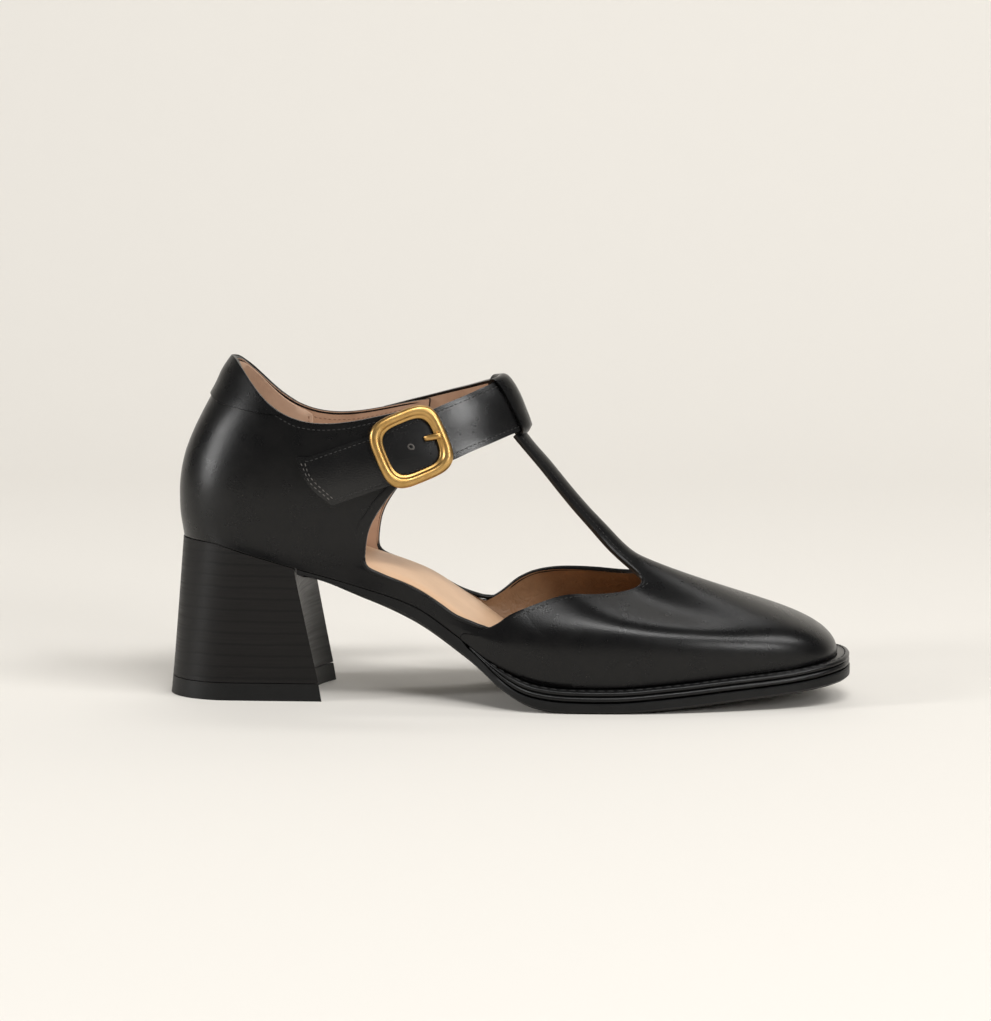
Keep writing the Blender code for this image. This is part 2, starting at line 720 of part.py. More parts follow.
def make_strap_loop(leather):
    """The T bar's end, folded over the ankle strap and sewn down below it."""
    inside = -UPPER_WALL
    rows = [STRAP_WIDTH * (row / 6 - 0.5) for row in range(7)]
    low = rows[0] - FIT_GAP
    high = rows[-1] + FIT_GAP
    bottom = low - LOOP_WALL
    top = high + LOOP_WALL
    face = 2 * FIT_GAP + STRAP_THICKNESS
    skin = face + LOOP_WALL
    # lift off the ankle's form, height across the strap
    outer_profile = [(inside, bottom), (face * 0.25, bottom), (face * 0.75, bottom + LOOP_WALL * 0.4)]
    outer_profile += [(skin - LOOP_WALL * 0.3, rows[0]), *[(skin, row) for row in rows[1:-1]]]
    outer_profile += [(skin - LOOP_WALL * 0.15, rows[-1]), (face * 0.85, top - LOOP_WALL * 0.15)]
    outer_profile += [(face * 0.2, top), (inside + LOOP_WALL * 0.4, top - LOOP_WALL * 0.4)]
    outer_profile += [(inside, row) for row in reversed(rows[1:])]
    hole_profile = [(0.0, low), (face * 0.35, low), (face * 0.7, low)]
    hole_profile += [(face, low), *[(face, row) for row in rows[1:-1]]]
    hole_profile += [(face, rows[-1]), (face, high)]
    hole_profile += [(face * 0.4, high), (0.0, high)]
    hole_profile += [(0.0, row) for row in reversed(rows[1:])]
    steps = LOOP_STEPS
    profiles = outer_profile + hole_profile
    rings = [[on_strap(place, across, lift) for lift, across in profiles] for place in loop_places()]
    size = len(outer_profile)
    points = [point for ring in rings for point in ring]
    faces = []
    for j in range(size):
        k = (j + 1) % size
        for i in range(steps):
            a = i * 2 * size
            b = a + 2 * size
            faces.append([a + j, a + k, b + k, b + j])
            faces.append([a + size + k, a + size + j, b + size + j, b + size + k])
        for a in (0, steps * 2 * size):
            faces.append([a + j, a + k, a + size + k, a + size + j])
    return add_solid("strap_loop", points, faces, leather, 50)


def cushion_outline(turn, length, height):
    """Point of a square with bowed sides and well rounded corners."""
    fullness = 3.6
    scale = (abs(math.cos(turn)) ** fullness + abs(math.sin(turn)) ** fullness) ** (-1 / fullness)
    return length / 2 * scale * math.cos(turn), height / 2 * scale * math.sin(turn)


def unit(vector):
    return vector / np.linalg.norm(vector)


def buckle_axes():
    """Middle of the flat buckle's underside, then its directions along the strap, across it and outwards."""
    base = BUCKLE_LIFT + STRAP_THICKNESS
    reach = BUCKLE_HEIGHT / 6
    along = unit(on_strap(reach - BUCKLE_PLACE, 0.0, base) - on_strap(-reach - BUCKLE_PLACE, 0.0, base))
    across = on_strap(-BUCKLE_PLACE, reach, base) - on_strap(-BUCKLE_PLACE, -reach, base)
    outward = unit(np.cross(along, across))
    return on_strap(-BUCKLE_PLACE, 0.0, base), along, np.cross(outward, along), outward


BUCKLE_AXES = buckle_axes()


def on_buckle(along, across, lift):
    middle, forward, upward, outward = BUCKLE_AXES
    return middle + forward * along + upward * across + outward * lift


def make_buckle_frame(brass):
    steps = 40
    sections = []
    for step in range(steps):
        turn = 2 * math.pi * step / steps
        ring = []
        for inset, lift in BAR_ROWS:
            inward = 2 * inset * BUCKLE_BAR
            along, across = cushion_outline(turn, BUCKLE_LENGTH - inward, BUCKLE_HEIGHT - inward)
            ring.append(on_buckle(along, across, lift * BUCKLE_THICKNESS))
        ring.append(ring[0])
        sections.append(ring)
    return add_solid("buckle_frame", *lofted(sections), brass, 60)


def make_buckle_prong(brass):
    """The stub of the prong: level with the frame at its root, dipping to the strap at its tip."""
    root = BUCKLE_LENGTH / 2 - BUCKLE_BAR - FIT_GAP
    # share of the length from the root, underside and top as shares of the frame's thickness
    stations = [(0.0, 0.0, 0.95), (0.25, 0.0, 1.0), (0.6, 0.0, 0.85), (0.85, 0.0, 0.5), (1.0, 0.0, 0.22)]
    bevel = 0.25
    sections = []
    for share, low, high in stations:
        along = root - PRONG_LENGTH * share
        thick = (high - low) * BUCKLE_THICKNESS
        half = PRONG_WIDTH / 2
        shoulder = bevel * min(half, thick)
        bottom = low * BUCKLE_THICKNESS
        corners = [
            (-half, 0.0),
            (-half, thick - shoulder),
            (-half + shoulder, thick),
            (half - shoulder, thick),
            (half, thick - shoulder),
            (half, 0.0),
        ]
        sections.append([on_buckle(along, across, bottom + lift) for across, lift in corners])
    return add_solid("buckle_prong", *swept(sections), brass)


# Bottom of the shoe


def bottom_loop(margin, start, count):
    """The sole's two side lines from a start station: the upper's lower edge moved out by margin(station)."""
    sides = []
    for side in (-1, 1):
        first = outline_share(side, start) if start > OUTLINE_ROWS[0][0] else 0.0
        shares = np.linspace(first, 1, count)
        line = []
        for share in shares:
            here = outline_at(side, share)
            ahead = outline_at(side, min(share + 0.003, 1))
            behind = outline_at(side, max(share - 0.003, 0))
            tangent = ahead - behind
            if share >= 0.9999:
                tangent = np.array([0.0, -1.0 * side])
            if share <= 0.0001:
                tangent = np.array([0.0, 1.0 * side])
            out = np.array([tangent[1], -tangent[0]]) * -side
            out = out / np.linalg.norm(out)
            line.append(here + out * margin(here[0] / SHOE_LENGTH))
        sides.append(line)
    return sides[0], sides[1]


def plate(sides, edge, bottom, top, spine_inset, levels=(0.0, 0.35, 0.7)):
    """A closed plate inside two side lines: edge(x, y, out) gives its rim's points from bottom to top."""
    outer, inner = sides
    middles = [(a + b) / 2 for a, b in zip(outer, inner)]
    loop = outer + inner[::-1][1:]
    spines = middles + middles[::-1][1:]
    if np.linalg.norm(outer[0] - inner[0]) < 1e-6:
        loop = loop[:-1]
    low_x = min(p[0] for p in middles) + spine_inset
    high_x = max(p[0] for p in middles) - spine_inset
    middle_x = [p[0] for p in middles]
    middle_y = [p[1] for p in middles]
    columns = []
    for i, point in enumerate(loop):
        before = loop[i - 1]
        after = loop[(i + 1) % len(loop)]
        tangent = np.array(after) - np.array(before)
        out = np.array([tangent[1], -tangent[0]])
        out = out / np.linalg.norm(out)
        spine_x = float(np.clip(spines[i][0], low_x, high_x))
        spine = np.array([spine_x, np.interp(spine_x, middle_x, middle_y)])
        column = []
        for level in levels:
            place = spine + (point - spine) * level
            column.append([place[0], place[1], bottom(place[0], place[1])])
        column += edge(point, out)
        for level in reversed(levels):
            place = spine + (point - spine) * level
            column.append([place[0], place[1], top(place[0], place[1])])
        columns.append(column)
    return lofted(columns)


def welt_share(station):
    """How much of the welt there is: none behind its waist ends, all of it from the ball on."""
    t = np.clip((station - MARGIN_START) / MARGIN_FADE, 0, 1)
    return float(t * t * (3 - 2 * t))


def sole_margin(station):
    return WELT_MARGIN * welt_share(station) + FIT_GAP * (1 - welt_share(station))


def make_outsole(rubber):
    def top(x, _y=0.0):
        station = x / SHOE_LENGTH
        below = lower_edge(station) - FIT_GAP
        if station > WELT_START - WELT_LEAD:
            below -= 2 * FIT_GAP + WELT_THICKNESS * welt_blend(station)
        return float(below)

    def bottom(x, _y=0.0):
        return float(sole_underside(x / SHOE_LENGTH))

    def edge(point, out):
        x, y = point
        low = bottom(x)
        high = top(x)
        thick = high - low
        share = welt_share(x / SHOE_LENGTH)
        chamfer = SOLE_CHAMFER * share + WAIST_CHAMFER * (1 - share)
        inner_point = point - out * chamfer
        rim = [[inner_point[0], inner_point[1], low]]
        rim.append([x, y, low + min(chamfer * 0.8, thick * 0.4)])
        rim.append([x, y, high - thick * 0.12])
        shoulder = point - out * BEAD_DEPTH * 0.5 * share
        rim.append([shoulder[0], shoulder[1], high])
        return rim

    sides = bottom_loop(sole_margin, HEEL_TOP_FRONT + BREAST_CLEARANCE, 31)
    return add_solid("outsole", *plate(sides, edge, bottom, top, SPINE_INSET), rubber)


def welt_blend(station):
    """Thickness of the welt along its waist ends, as a share."""
    t = np.clip((station - WELT_START) / WELT_FADE, 0, 1)
    return float(0.18 + 0.82 * t * t * (3 - 2 * t))


def make_welt(leather):
    def top(x, _y=0.0):
        return float(lower_edge(x / SHOE_LENGTH)) - 1.5 * FIT_GAP

    def bottom(x, _y=0.0):
        return top(x) - WELT_THICKNESS * welt_blend(x / SHOE_LENGTH)

    def edge(point, out):
        low = bottom(point[0])
        high = top(point[0])
        thick = high - low
        share = welt_share(point[0] / SHOE_LENGTH)
        rim = []
        for inset, height in BEAD_ROWS:
            place = point - out * BEAD_DEPTH * (inset + 0.15) * (0.3 + 0.7 * share)
            rim.append([place[0], place[1], low + thick * height])
        return rim

    sides = bottom_loop(sole_margin, WELT_START, 27)
    return add_solid("welt", *plate(sides, edge, bottom, top, SPINE_INSET), leather)


def make_insole(lining):
    first = OUTLINE_ROWS[0][0]

    def inset(station):
        toe = float(np.clip((station - TOE_EASE_START) / TOE_EASE_OVER, 0, 1))
        return -(UPPER_WALL + 3 * FIT_GAP + INSOLE_TOE_EASE * toe)

    def thickness(station):
        t = np.clip((station - INSOLE_THINS_AT) / INSOLE_THINS_OVER, 0, 1)
        return INSOLE_THICKNESS + (INSOLE_FORE_THICKNESS - INSOLE_THICKNESS) * float(t * t * (3 - 2 * t))

    def bottom(x, _y=0.0):
        return float(lower_edge(x / SHOE_LENGTH)) + 2 * FIT_GAP

    def half_width(x):
        share = outline_share(-1, x / SHOE_LENGTH)
        return abs(outline_at(-1, share)[1])

    def top(x, y=0.0):
        half = max(half_width(x), 0.004)
        crown = INSOLE_CROWN * max(0.0, 1 - (y / half) ** 2)
        return bottom(x) + thickness(x / SHOE_LENGTH) + crown

    def edge(point, out):
        x, y = point
        high = bottom(x) + thickness(x / SHOE_LENGTH)
        shoulder = point - out * 0.0012
        return [[x, y, bottom(x)], [x, y, high - 0.0009], [shoulder[0], shoulder[1], high]]

    sides = bottom_loop(inset, first, 36)
    return add_solid("insole", *plate(sides, edge, bottom, top, SPINE_INSET), lining)


def heel_loop(share):
    """Two side lines of the heel, with the breast, at a share of its height: 0 at the floor, 1 at the seat."""
    top_back = OUTLINE_ROWS[0][0] * SHOE_LENGTH
    top_front = HEEL_TOP_FRONT * SHOE_LENGTH
    lean = share ** 0.9
    back = top_back * lean
    front = HEEL_BASE_LENGTH + (top_front - HEEL_BASE_LENGTH) * share
    lines = []
    for side in (-1, 1):
        line = []
        for step in range(10):
            turn = math.pi / 2 * step / 9
            x = back + HEEL_BACK_RADIUS * (1 - math.cos(turn))
            low = HEEL_BASE_WIDTH / 2 * math.sin(turn) ** 0.92
            high = abs(outline_at(side, outline_share(side, (x + top_back * (1 - lean)) / SHOE_LENGTH))[1])
            line.append(np.array([x, side * (low + (high - low) * share**1.3)]))
        for step in range(1, 6):
            x = back + HEEL_BACK_RADIUS + (front - back - HEEL_BACK_RADIUS) * step / 5
            low = HEEL_BASE_WIDTH / 2
            high = abs(outline_at(side, outline_share(side, x / SHOE_LENGTH))[1])
            line.append(np.array([x, side * (low + (high - low) * share**1.3)]))
        half = abs(line[-1][1])
        for step in range(1, 5):
            y = half * (1 - step / 4)
            x = front - BREAST_HOLLOW * (1 - share**2) * (1 - (y / half) ** 2)
            line.append(np.array([x, side * y]))
        lines.append(line)
    return lines


def heel_solid(name, low, high, shares, material):
    """A slice of the heel between two heights: low and high are functions of x."""
    spine = HEEL_SPINE_INSET
    loops = []
    for share in shares:
        outer, inner = heel_loop(share)
        loops.append(outer + inner[::-1][1:-1])
    count = len(loops[0])
    columns = []
    for i in range(count):
        column = []
        for edge_loop, height in ((loops[0], low), (loops[-1], high)):
            place = edge_loop[i]
            xs = [p[0] for p in edge_loop]
            middle = np.array([np.clip(place[0], min(xs) + spine, max(xs) - spine * 1.4), 0.0])
            inner_places = [middle + (place - middle) * level for level in (0.0, 0.3, 0.55, 0.8)]
            cap = [[p[0], p[1], height(p[0])] for p in inner_places]
            column.append(cap)
        rim = []
        for k, edge_loop in enumerate(loops):
            x, y = edge_loop[i]
            climb = (shares[k] - shares[0]) / (shares[-1] - shares[0])
            floor = low(x)
            rim.append([x, y, floor + (high(x) - floor) * climb])
        columns.append(column[0] + rim + column[1][::-1])
    return add_solid(name, *lofted(columns), material)


def make_heel(wood, rubber):
    def seat(x):
        return float(lower_edge(x / SHOE_LENGTH)) - FIT_GAP

    split = TOPLIFT_THICKNESS / seat_height()
    gap_share = FIT_GAP / seat_height()
    block_shares = [split + gap_share, 0.3, 0.5, 0.7, 0.86, 1.0]
    block = heel_solid("heel_block", lambda x: TOPLIFT_THICKNESS + FIT_GAP, seat, block_shares, wood)
    lift = heel_solid("toplift", lambda x: 0.0, lambda x: TOPLIFT_THICKNESS, [0.0, split], rubber)
    return block, lift


def centre_on_floor():
    """Moves every mesh so that the middle of the shoe's plan box is at the origin."""
    meshes = [obj.data for obj in bpy.data.objects if obj.type == "MESH"]
    corners = np.array([vertex.co for mesh in meshes for vertex in mesh.vertices])
    low = corners.min(axis=0)
    high = corners.max(axis=0)
    shift = ((low[0] + high[0]) / 2, (low[1] + high[1]) / 2, low[2])
    for mesh in meshes:
        for vertex in mesh.vertices:
            vertex.co = (vertex.co[0] - shift[0], vertex.co[1] - shift[1], vertex.co[2] - shift[2])


def main():
    clear_scene()
    calf = make_material("black_calf", (0.012, 0.012, 0.013), 0.38)
    lining = make_material("tan_lining", (0.62, 0.38, 0.24), 0.55)
    welt_leather = make_material("black_welt", (0.014, 0.014, 0.015), 0.55)
    rubber = make_material("black_rubber", (0.015, 0.015, 0.016), 0.65)
    stacked = make_material("stacked_heel", (0.016, 0.015, 0.015), 0.5)
    brass = make_material("antique_brass", (0.70, 0.48, 0.18), 0.3, 1.0)
    make_upper(calf)
    make_back_tab(calf)
    make_insole(lining)
    make_welt(welt_leather)
    make_outsole(rubber)
    make_heel(stacked, rubber)
    make_ankle_strap(calf)
    make_strap_loop(calf)
    make_buckle_frame(brass)
    make_buckle_prong(brass)
    centre_on_floor()


main()
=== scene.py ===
# %% [markdown]
# # T strap shoe
#
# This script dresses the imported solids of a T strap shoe: a right shoe in smooth black calf with a squared
# almond toe, a block heel, an ankle strap with an antique gold buckle, open sides and a tan lining.

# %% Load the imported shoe
import math

import bmesh
import bpy
import numpy as np
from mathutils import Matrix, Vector
from mathutils.bvhtree import BVHTree


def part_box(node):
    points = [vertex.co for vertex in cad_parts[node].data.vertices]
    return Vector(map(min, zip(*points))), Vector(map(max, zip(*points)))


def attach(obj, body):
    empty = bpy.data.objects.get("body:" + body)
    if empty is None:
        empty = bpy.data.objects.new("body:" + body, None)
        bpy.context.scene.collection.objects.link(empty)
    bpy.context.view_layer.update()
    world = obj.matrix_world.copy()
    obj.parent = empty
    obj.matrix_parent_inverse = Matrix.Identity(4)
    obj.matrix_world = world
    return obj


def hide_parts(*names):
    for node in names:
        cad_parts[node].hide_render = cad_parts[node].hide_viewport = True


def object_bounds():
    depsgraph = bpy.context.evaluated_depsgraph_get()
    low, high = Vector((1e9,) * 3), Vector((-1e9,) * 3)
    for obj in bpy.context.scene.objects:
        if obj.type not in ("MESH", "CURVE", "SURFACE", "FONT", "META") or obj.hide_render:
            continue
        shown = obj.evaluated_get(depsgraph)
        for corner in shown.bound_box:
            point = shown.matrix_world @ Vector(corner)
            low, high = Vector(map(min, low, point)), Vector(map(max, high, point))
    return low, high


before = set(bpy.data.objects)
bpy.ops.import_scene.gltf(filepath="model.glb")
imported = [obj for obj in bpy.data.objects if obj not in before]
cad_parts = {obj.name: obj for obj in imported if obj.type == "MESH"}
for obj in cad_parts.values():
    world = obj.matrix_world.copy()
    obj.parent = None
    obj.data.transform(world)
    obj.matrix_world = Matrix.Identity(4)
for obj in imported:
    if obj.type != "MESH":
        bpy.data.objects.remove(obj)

CAD_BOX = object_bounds()
FINE = 2
print("box of the solids", CAD_BOX)

# %% [markdown]
# ## Sizes of the last, the upper and the bottom
#
# A shoe is made round a last, so its form is given as a few driving sizes and as tables of shares of them.
# They are the same numbers as in the solids, because the finer surfaces here lie on the same form. X starts
# at the back of the heel in these tables. One could also sculpt the form, but then no two pieces would fit
# each other.

# %% Driving sizes
SHOE_LENGTH = 0.2505
BALL_WIDTH = 0.077
ANKLE_WIDTH = 0.054
SEAT_RISE = 0.050
BACK_HEIGHT = 0.066
TOE_SPRING = 0.0085
SOLE_STACK = 0.0085
WELT_THICKNESS = 0.0040
WELT_MARGIN = 0.0044
BEAD_DEPTH = 0.0011
UPPER_WALL = 0.0018
WAIST_WALL_HEIGHT = 0.0070
WAIST_STEP = 0.0006
THROAT_HEIGHT = 0.0355
T_BAR_WIDTH = 0.0140
THROAT_WIDTH = 0.023
INSOLE_THICKNESS = 0.0072
INSOLE_FORE_THICKNESS = 0.0045
INSOLE_CROWN = 0.0008
INSOLE_TOE_EASE = 0.0018
TOPLIFT_THICKNESS = 0.0064
HEEL_BASE_LENGTH = 0.0585
HEEL_BASE_WIDTH = 0.047
HEEL_BACK_RADIUS = 0.025
HEEL_TOP_FRONT = 0.196
BREAST_HOLLOW = 0.0065
STRAP_WIDTH = 0.0178
STRAP_THICKNESS = 0.0018
STRAP_END_SLANT = 0.0120
LOOP_WALL = 0.0012
LOOP_WIDTH = 0.0150
TAB_THICKNESS = 0.0010
BUCKLE_LENGTH = 0.0274
BUCKLE_HEIGHT = 0.0268
BUCKLE_BAR = 0.0044
BUCKLE_THICKNESS = 0.0026
BUCKLE_PLACE = 0.0474
BUCKLE_LIFT = 0.0009
PRONG_WIDTH = 0.0024
FIT_GAP = 0.0003

# %% [markdown]
# The pitch of the sole, its outline seen from above, and the level sections of the heel and ankle are
# tables. Each row is one place, and its numbers are shares of a driving size, so a larger shoe keeps the
# same form. They follow the picture, and the usual shape of a last where the picture shows nothing.

# %% Tables of the last
# station, rise of the upper's lower edge and of the sole's underside (of SEAT_RISE),
# toe spring of the same two lines (of TOE_SPRING)
PITCH_ROWS = [
    (0.000, 1.000, 0.920, 0.00, 0.00),
    (0.070, 0.986, 0.920, 0.00, 0.00),
    (0.120, 0.924, 0.915, 0.00, 0.00),
    (0.200, 0.816, 0.925, 0.00, 0.00),
    (0.300, 0.676, 0.765, 0.00, 0.00),
    (0.370, 0.556, 0.608, 0.00, 0.00),
    (0.440, 0.330, 0.374, 0.00, 0.00),
    (0.500, 0.122, 0.140, 0.00, 0.00),
    (0.550, 0.028, 0.026, 0.00, 0.00),
    (0.590, 0.006, 0.000, 0.00, 0.00),
    (0.660, 0.000, 0.000, 0.02, 0.00),
    (0.740, 0.000, 0.000, 0.20, 0.17),
    (0.820, 0.000, 0.000, 0.44, 0.42),
    (0.920, 0.000, 0.000, 0.72, 0.72),
    (1.000, 0.000, 0.000, 1.08, 1.02),
]

# station, half width of the upper's lower edge on the outer and on the inner side (of half BALL_WIDTH)
OUTLINE_ROWS = [
    (0.0200, 0.000, 0.000),
    (0.0240, 0.165, 0.165),
    (0.0370, 0.325, 0.325),
    (0.0720, 0.540, 0.540),
    (0.1270, 0.665, 0.665),
    (0.1870, 0.705, 0.700),
    (0.2460, 0.710, 0.675),
    (0.2980, 0.715, 0.640),
    (0.3650, 0.750, 0.610),
    (0.4410, 0.845, 0.665),
    (0.5040, 0.935, 0.770),
    (0.5840, 1.000, 0.920),
    (0.6630, 0.995, 1.000),
    (0.7430, 0.945, 0.985),
    (0.8220, 0.845, 0.890),
    (0.9000, 0.700, 0.730),
    (0.9470, 0.560, 0.575),
    (0.9710, 0.400, 0.405),
    (0.9800, 0.230, 0.230),
    (0.9830, 0.000, 0.000),
]

# level above the heel seat (of BACK_HEIGHT), station of the back, of the widest place and of the front,
# width (of ANKLE_WIDTH), fullness of the back half: one row for each level section of the heel and ankle
RING_ROWS = [
    (-0.280, 0.0190, 0.2180, 0.8390, 0.970, 2.30),
    (-0.160, 0.0190, 0.2180, 0.7225, 0.980, 2.30),
    (-0.050, 0.0180, 0.2180, 0.6740, 0.990, 2.30),
    (0.050, 0.0155, 0.2180, 0.6485, 1.010, 2.30),
    (0.150, 0.0135, 0.2200, 0.6225, 1.030, 2.30),
    (0.280, 0.0145, 0.2220, 0.5925, 1.045, 2.30),
    (0.430, 0.0210, 0.2250, 0.5605, 1.030, 2.30),
    (0.580, 0.0355, 0.2300, 0.5260, 0.990, 2.27),
    (0.680, 0.0485, 0.2350, 0.5140, 0.965, 2.20),
    (0.770, 0.0610, 0.2400, 0.5050, 0.935, 2.06),
    (0.850, 0.0730, 0.2430, 0.4930, 0.905, 1.90),
    (0.920, 0.0810, 0.2460, 0.4790, 0.875, 1.76),
    (1.000, 0.0960, 0.2500, 0.4660, 0.840, 1.66),
]
FRONT_FULLNESS = 1.8

# %% [markdown]
# The edges that the leather is cut to are tables too: the collar's dip below the ankle, the quarter's front
# edge, the vamp's topline and the profile of its columns, the strap's line, and the seam of the back tab.

# %% Tables of the upper's edges
# station, level of the collar's edge (of BACK_HEIGHT above the seat)
COLLAR_ROWS = [
    (0.0900, 1.000),
    (0.1000, 0.995),
    (0.1150, 0.945),
    (0.1350, 0.855),
    (0.1570, 0.765),
    (0.1780, 0.708),
    (0.2070, 0.662),
    (0.2380, 0.650),
    (0.2680, 0.656),
    (0.3000, 0.680),
    (0.3300, 0.706),
    (0.3800, 0.742),
    (0.4500, 0.790),
]

# level, station of the quarter's front edge
QUARTER_EDGE_ROWS = [
    (-0.250, 0.2980),
    (-0.023, 0.3000),
    (0.068, 0.3040),
    (0.129, 0.3100),
    (0.174, 0.3185),
    (0.235, 0.3290),
    (0.300, 0.3440),
    (0.386, 0.3600),
    (0.500, 0.3700),
    (0.745, 0.3800),
]

# share along the vamp's topline, station, half width (of half BALL_WIDTH) and height above the upper's lower
# edge (of THROAT_HEIGHT) on the outer side, then the same three on the inner side
TOPLINE_ROWS = [
    (0.00, 0.4660, 0.885, 0.230, 0.4570, 0.695, 0.240),
    (0.12, 0.4880, 0.895, 0.400, 0.4800, 0.735, 0.450),
    (0.25, 0.5120, 0.885, 0.605, 0.5080, 0.765, 0.720),
    (0.40, 0.5530, 0.830, 0.815, 0.5420, 0.770, 0.910),
    (0.55, 0.5950, 0.740, 0.920, 0.5820, 0.720, 0.985),
    (0.72, 0.6390, 0.590, 0.900, 0.6290, 0.595, 1.000),
    (0.88, 0.6790, 0.400, 0.905, 0.6690, 0.410, 1.000),
    (1.00, 0.7000, 0.299, 0.975, 0.6940, 0.299, 1.015),
]

# share along the vamp from its waist end to the toe's middle, then of BALL_WIDTH: the rise and bulge of its
# curve's lower handle, and how far the upper handle reaches to the toe, outwards and down
VAMP_ROWS = [
    (0.00, 0.060, 0.004, 0.000, 0.010, 0.050),
    (0.15, 0.175, 0.015, 0.022, 0.040, 0.105),
    (0.35, 0.255, 0.029, 0.085, 0.100, 0.145),
    (0.55, 0.270, 0.032, 0.200, 0.155, 0.165),
    (0.72, 0.250, 0.030, 0.335, 0.180, 0.185),
    (0.86, 0.218, 0.022, 0.420, 0.130, 0.190),
    (1.00, 0.190, 0.012, 0.440, 0.000, 0.185),
]

# turn from the front of the ankle (radians), level of the strap's middle on the outer and on the inner side
STRAP_ROWS = [
    (0.000, 0.735, 0.735),
    (0.330, 0.716, 0.724),
    (0.720, 0.645, 0.672),
    (1.060, 0.530, 0.600),
    (1.240, 0.458, 0.553),
    (1.570, 0.329, 0.480),
]

# station, level of the back tab's lower edge
TAB_SEAM_ROWS = [
    (0.0600, 0.800),
    (0.0830, 0.748),
    (0.1100, 0.728),
    (0.1470, 0.706),
    (0.1780, 0.698),
    (0.2000, 0.690),
]

# the welt's two beads: inset (of BEAD_DEPTH), height (of the welt's thickness)
BEAD_ROWS = [
    (0.90, 0.00),
    (0.10, 0.12),
    (0.00, 0.27),
    (0.25, 0.43),
    (1.00, 0.52),
    (0.25, 0.61),
    (0.00, 0.76),
    (0.20, 0.90),
    (0.90, 1.00),
]

# %% [markdown]
# Smaller values: how many columns and rows the upper's grid has, and where the welt, the sole's margins and
# the insole's thickness change along the shoe.

# %% Grid counts and places along the shoe
REAR_COLUMNS = 13
WAIST_COLUMNS = 5
VAMP_COLUMNS = 14
T_BAR_COLUMNS = 3
LOWER_ROWS = 9
UPPER_ROWS = 11
WAIST_LEVEL = 0.30
WELT_START = 0.452
WELT_LEAD = 0.012
WELT_FADE = 0.075
MARGIN_START = 0.445
MARGIN_FADE = 0.09
SOLE_CHAMFER = 0.0012
WAIST_CHAMFER = 0.0022
INSOLE_THINS_AT = 0.44
INSOLE_THINS_OVER = 0.14
TOE_EASE_START = 0.84
TOE_EASE_OVER = 0.10
HEEL_SPINE_INSET = 0.014
BREAST_CLEARANCE = 0.0045
TAB_END = 0.178
VAMP_SLANT = 0.028
SPINE_INSET = 0.022
LOOP_STEPS = 12
STRAP_OUTER_TURN = -1.585
STRAP_INNER_TURN = 1.25
T_BAR_LAP = 0.0008
# station from which the upper's inside gets the darker lining, painted shade for the inside of the vamp
SHADED_LINING_FROM = 0.44
SIDES = (-1, 1)

# %% [markdown]
# ## The form
#
# Smooth curves run through the tables' rows: the pitch of the sole, its outline, and the level sections of
# the heel and ankle. A steady cubic is used rather than a plain spline because it never bulges between two
# rows.

# %% Curves through the tables


def unit(vector):
    return vector / np.linalg.norm(vector)


def steady(rows, at, column):
    """A table's column at one or more places: a cubic between rows that never overshoots them."""
    table = np.array(rows, float)
    x = table[:, 0]
    y = table[:, column]
    step = np.diff(x)
    slope = np.diff(y) / step
    tangent = np.zeros(len(x))
    for i in range(1, len(x) - 1):
        if slope[i - 1] * slope[i] > 0:
            before = 2 * step[i] + step[i - 1]
            after = step[i] + 2 * step[i - 1]
            tangent[i] = (before + after) / (before / slope[i - 1] + after / slope[i])
    tangent[0] = slope[0]
    tangent[-1] = slope[-1]
    at = np.clip(np.asarray(at, float), x[0], x[-1])
    i = np.clip(np.searchsorted(x, at, side="right") - 1, 0, len(x) - 2)
    t = (at - x[i]) / step[i]
    return (
        y[i] * (1 + 2 * t) * (1 - t) ** 2
        + tangent[i] * step[i] * t * (1 - t) ** 2
        + y[i + 1] * t * t * (3 - 2 * t)
        + tangent[i + 1] * step[i] * t * t * (t - 1)
    )


def lengths_along(points):
    """Distance from a line's start to each of its points."""
    return np.concatenate([[0], np.cumsum(np.linalg.norm(np.diff(points, axis=0), axis=1))])


def spaced(points, lengths, wanted):
    """The places at the wanted lengths along a line."""
    return np.stack([np.interp(wanted, lengths, points[:, k]) for k in range(points.shape[1])], -1)


def full_turn(steps):
    """The angles of a full turn in even steps."""
    return [2 * math.pi * step / steps for step in range(steps)]


def through(points, count):
    """Points evenly spaced along a smooth curve through the given points."""
    points = np.array(points, float)
    ends = [2 * points[0] - points[1]], [2 * points[-1] - points[-2]]
    padded = np.concatenate([ends[0], points, ends[1]])
    steps = np.linspace(0, 1, 24, endpoint=False)[:, None]
    runs = []
    for a, b, c, d in zip(padded, padded[1:], padded[2:], padded[3:]):
        run = 2 * b + (c - a) * steps + (2 * a - 5 * b + 4 * c - d) * steps**2
        runs.append((run + (3 * b - a - 3 * c + d) * steps**3) / 2)
    dense = np.concatenate(runs + [points[-1:]])
    lengths = lengths_along(dense)
    return spaced(dense, lengths, np.linspace(0, lengths[-1], count))


def ease(value):
    """A smooth step: 0 below 0, 1 above 1, level at both ends."""
    t = np.clip(value, 0, 1)
    return float(t * t * (3 - 2 * t))


def level_at(rows, station):
    """Height of a table's line, given as a level above the seat, at a station."""
    return seat_height() + BACK_HEIGHT * float(steady(rows, station, 1))

# %% [markdown]
# With a steady curve through a table, each line of the bottom is one short function: the height of the
# upper's lower edge, the sole's underside, and the outline from above with the direction that points
# straight out of it.

# %% Lines of the bottom


def lower_edge(station):
    """Height of the upper's lower edge."""
    rise = SEAT_RISE * steady(PITCH_ROWS, station, 1)
    return SOLE_STACK + rise + TOE_SPRING * steady(PITCH_ROWS, station, 3)


def sole_underside(station):
    return SEAT_RISE * steady(PITCH_ROWS, station, 2) + TOE_SPRING * steady(PITCH_ROWS, station, 4)


def seat_height():
    return SOLE_STACK + SEAT_RISE


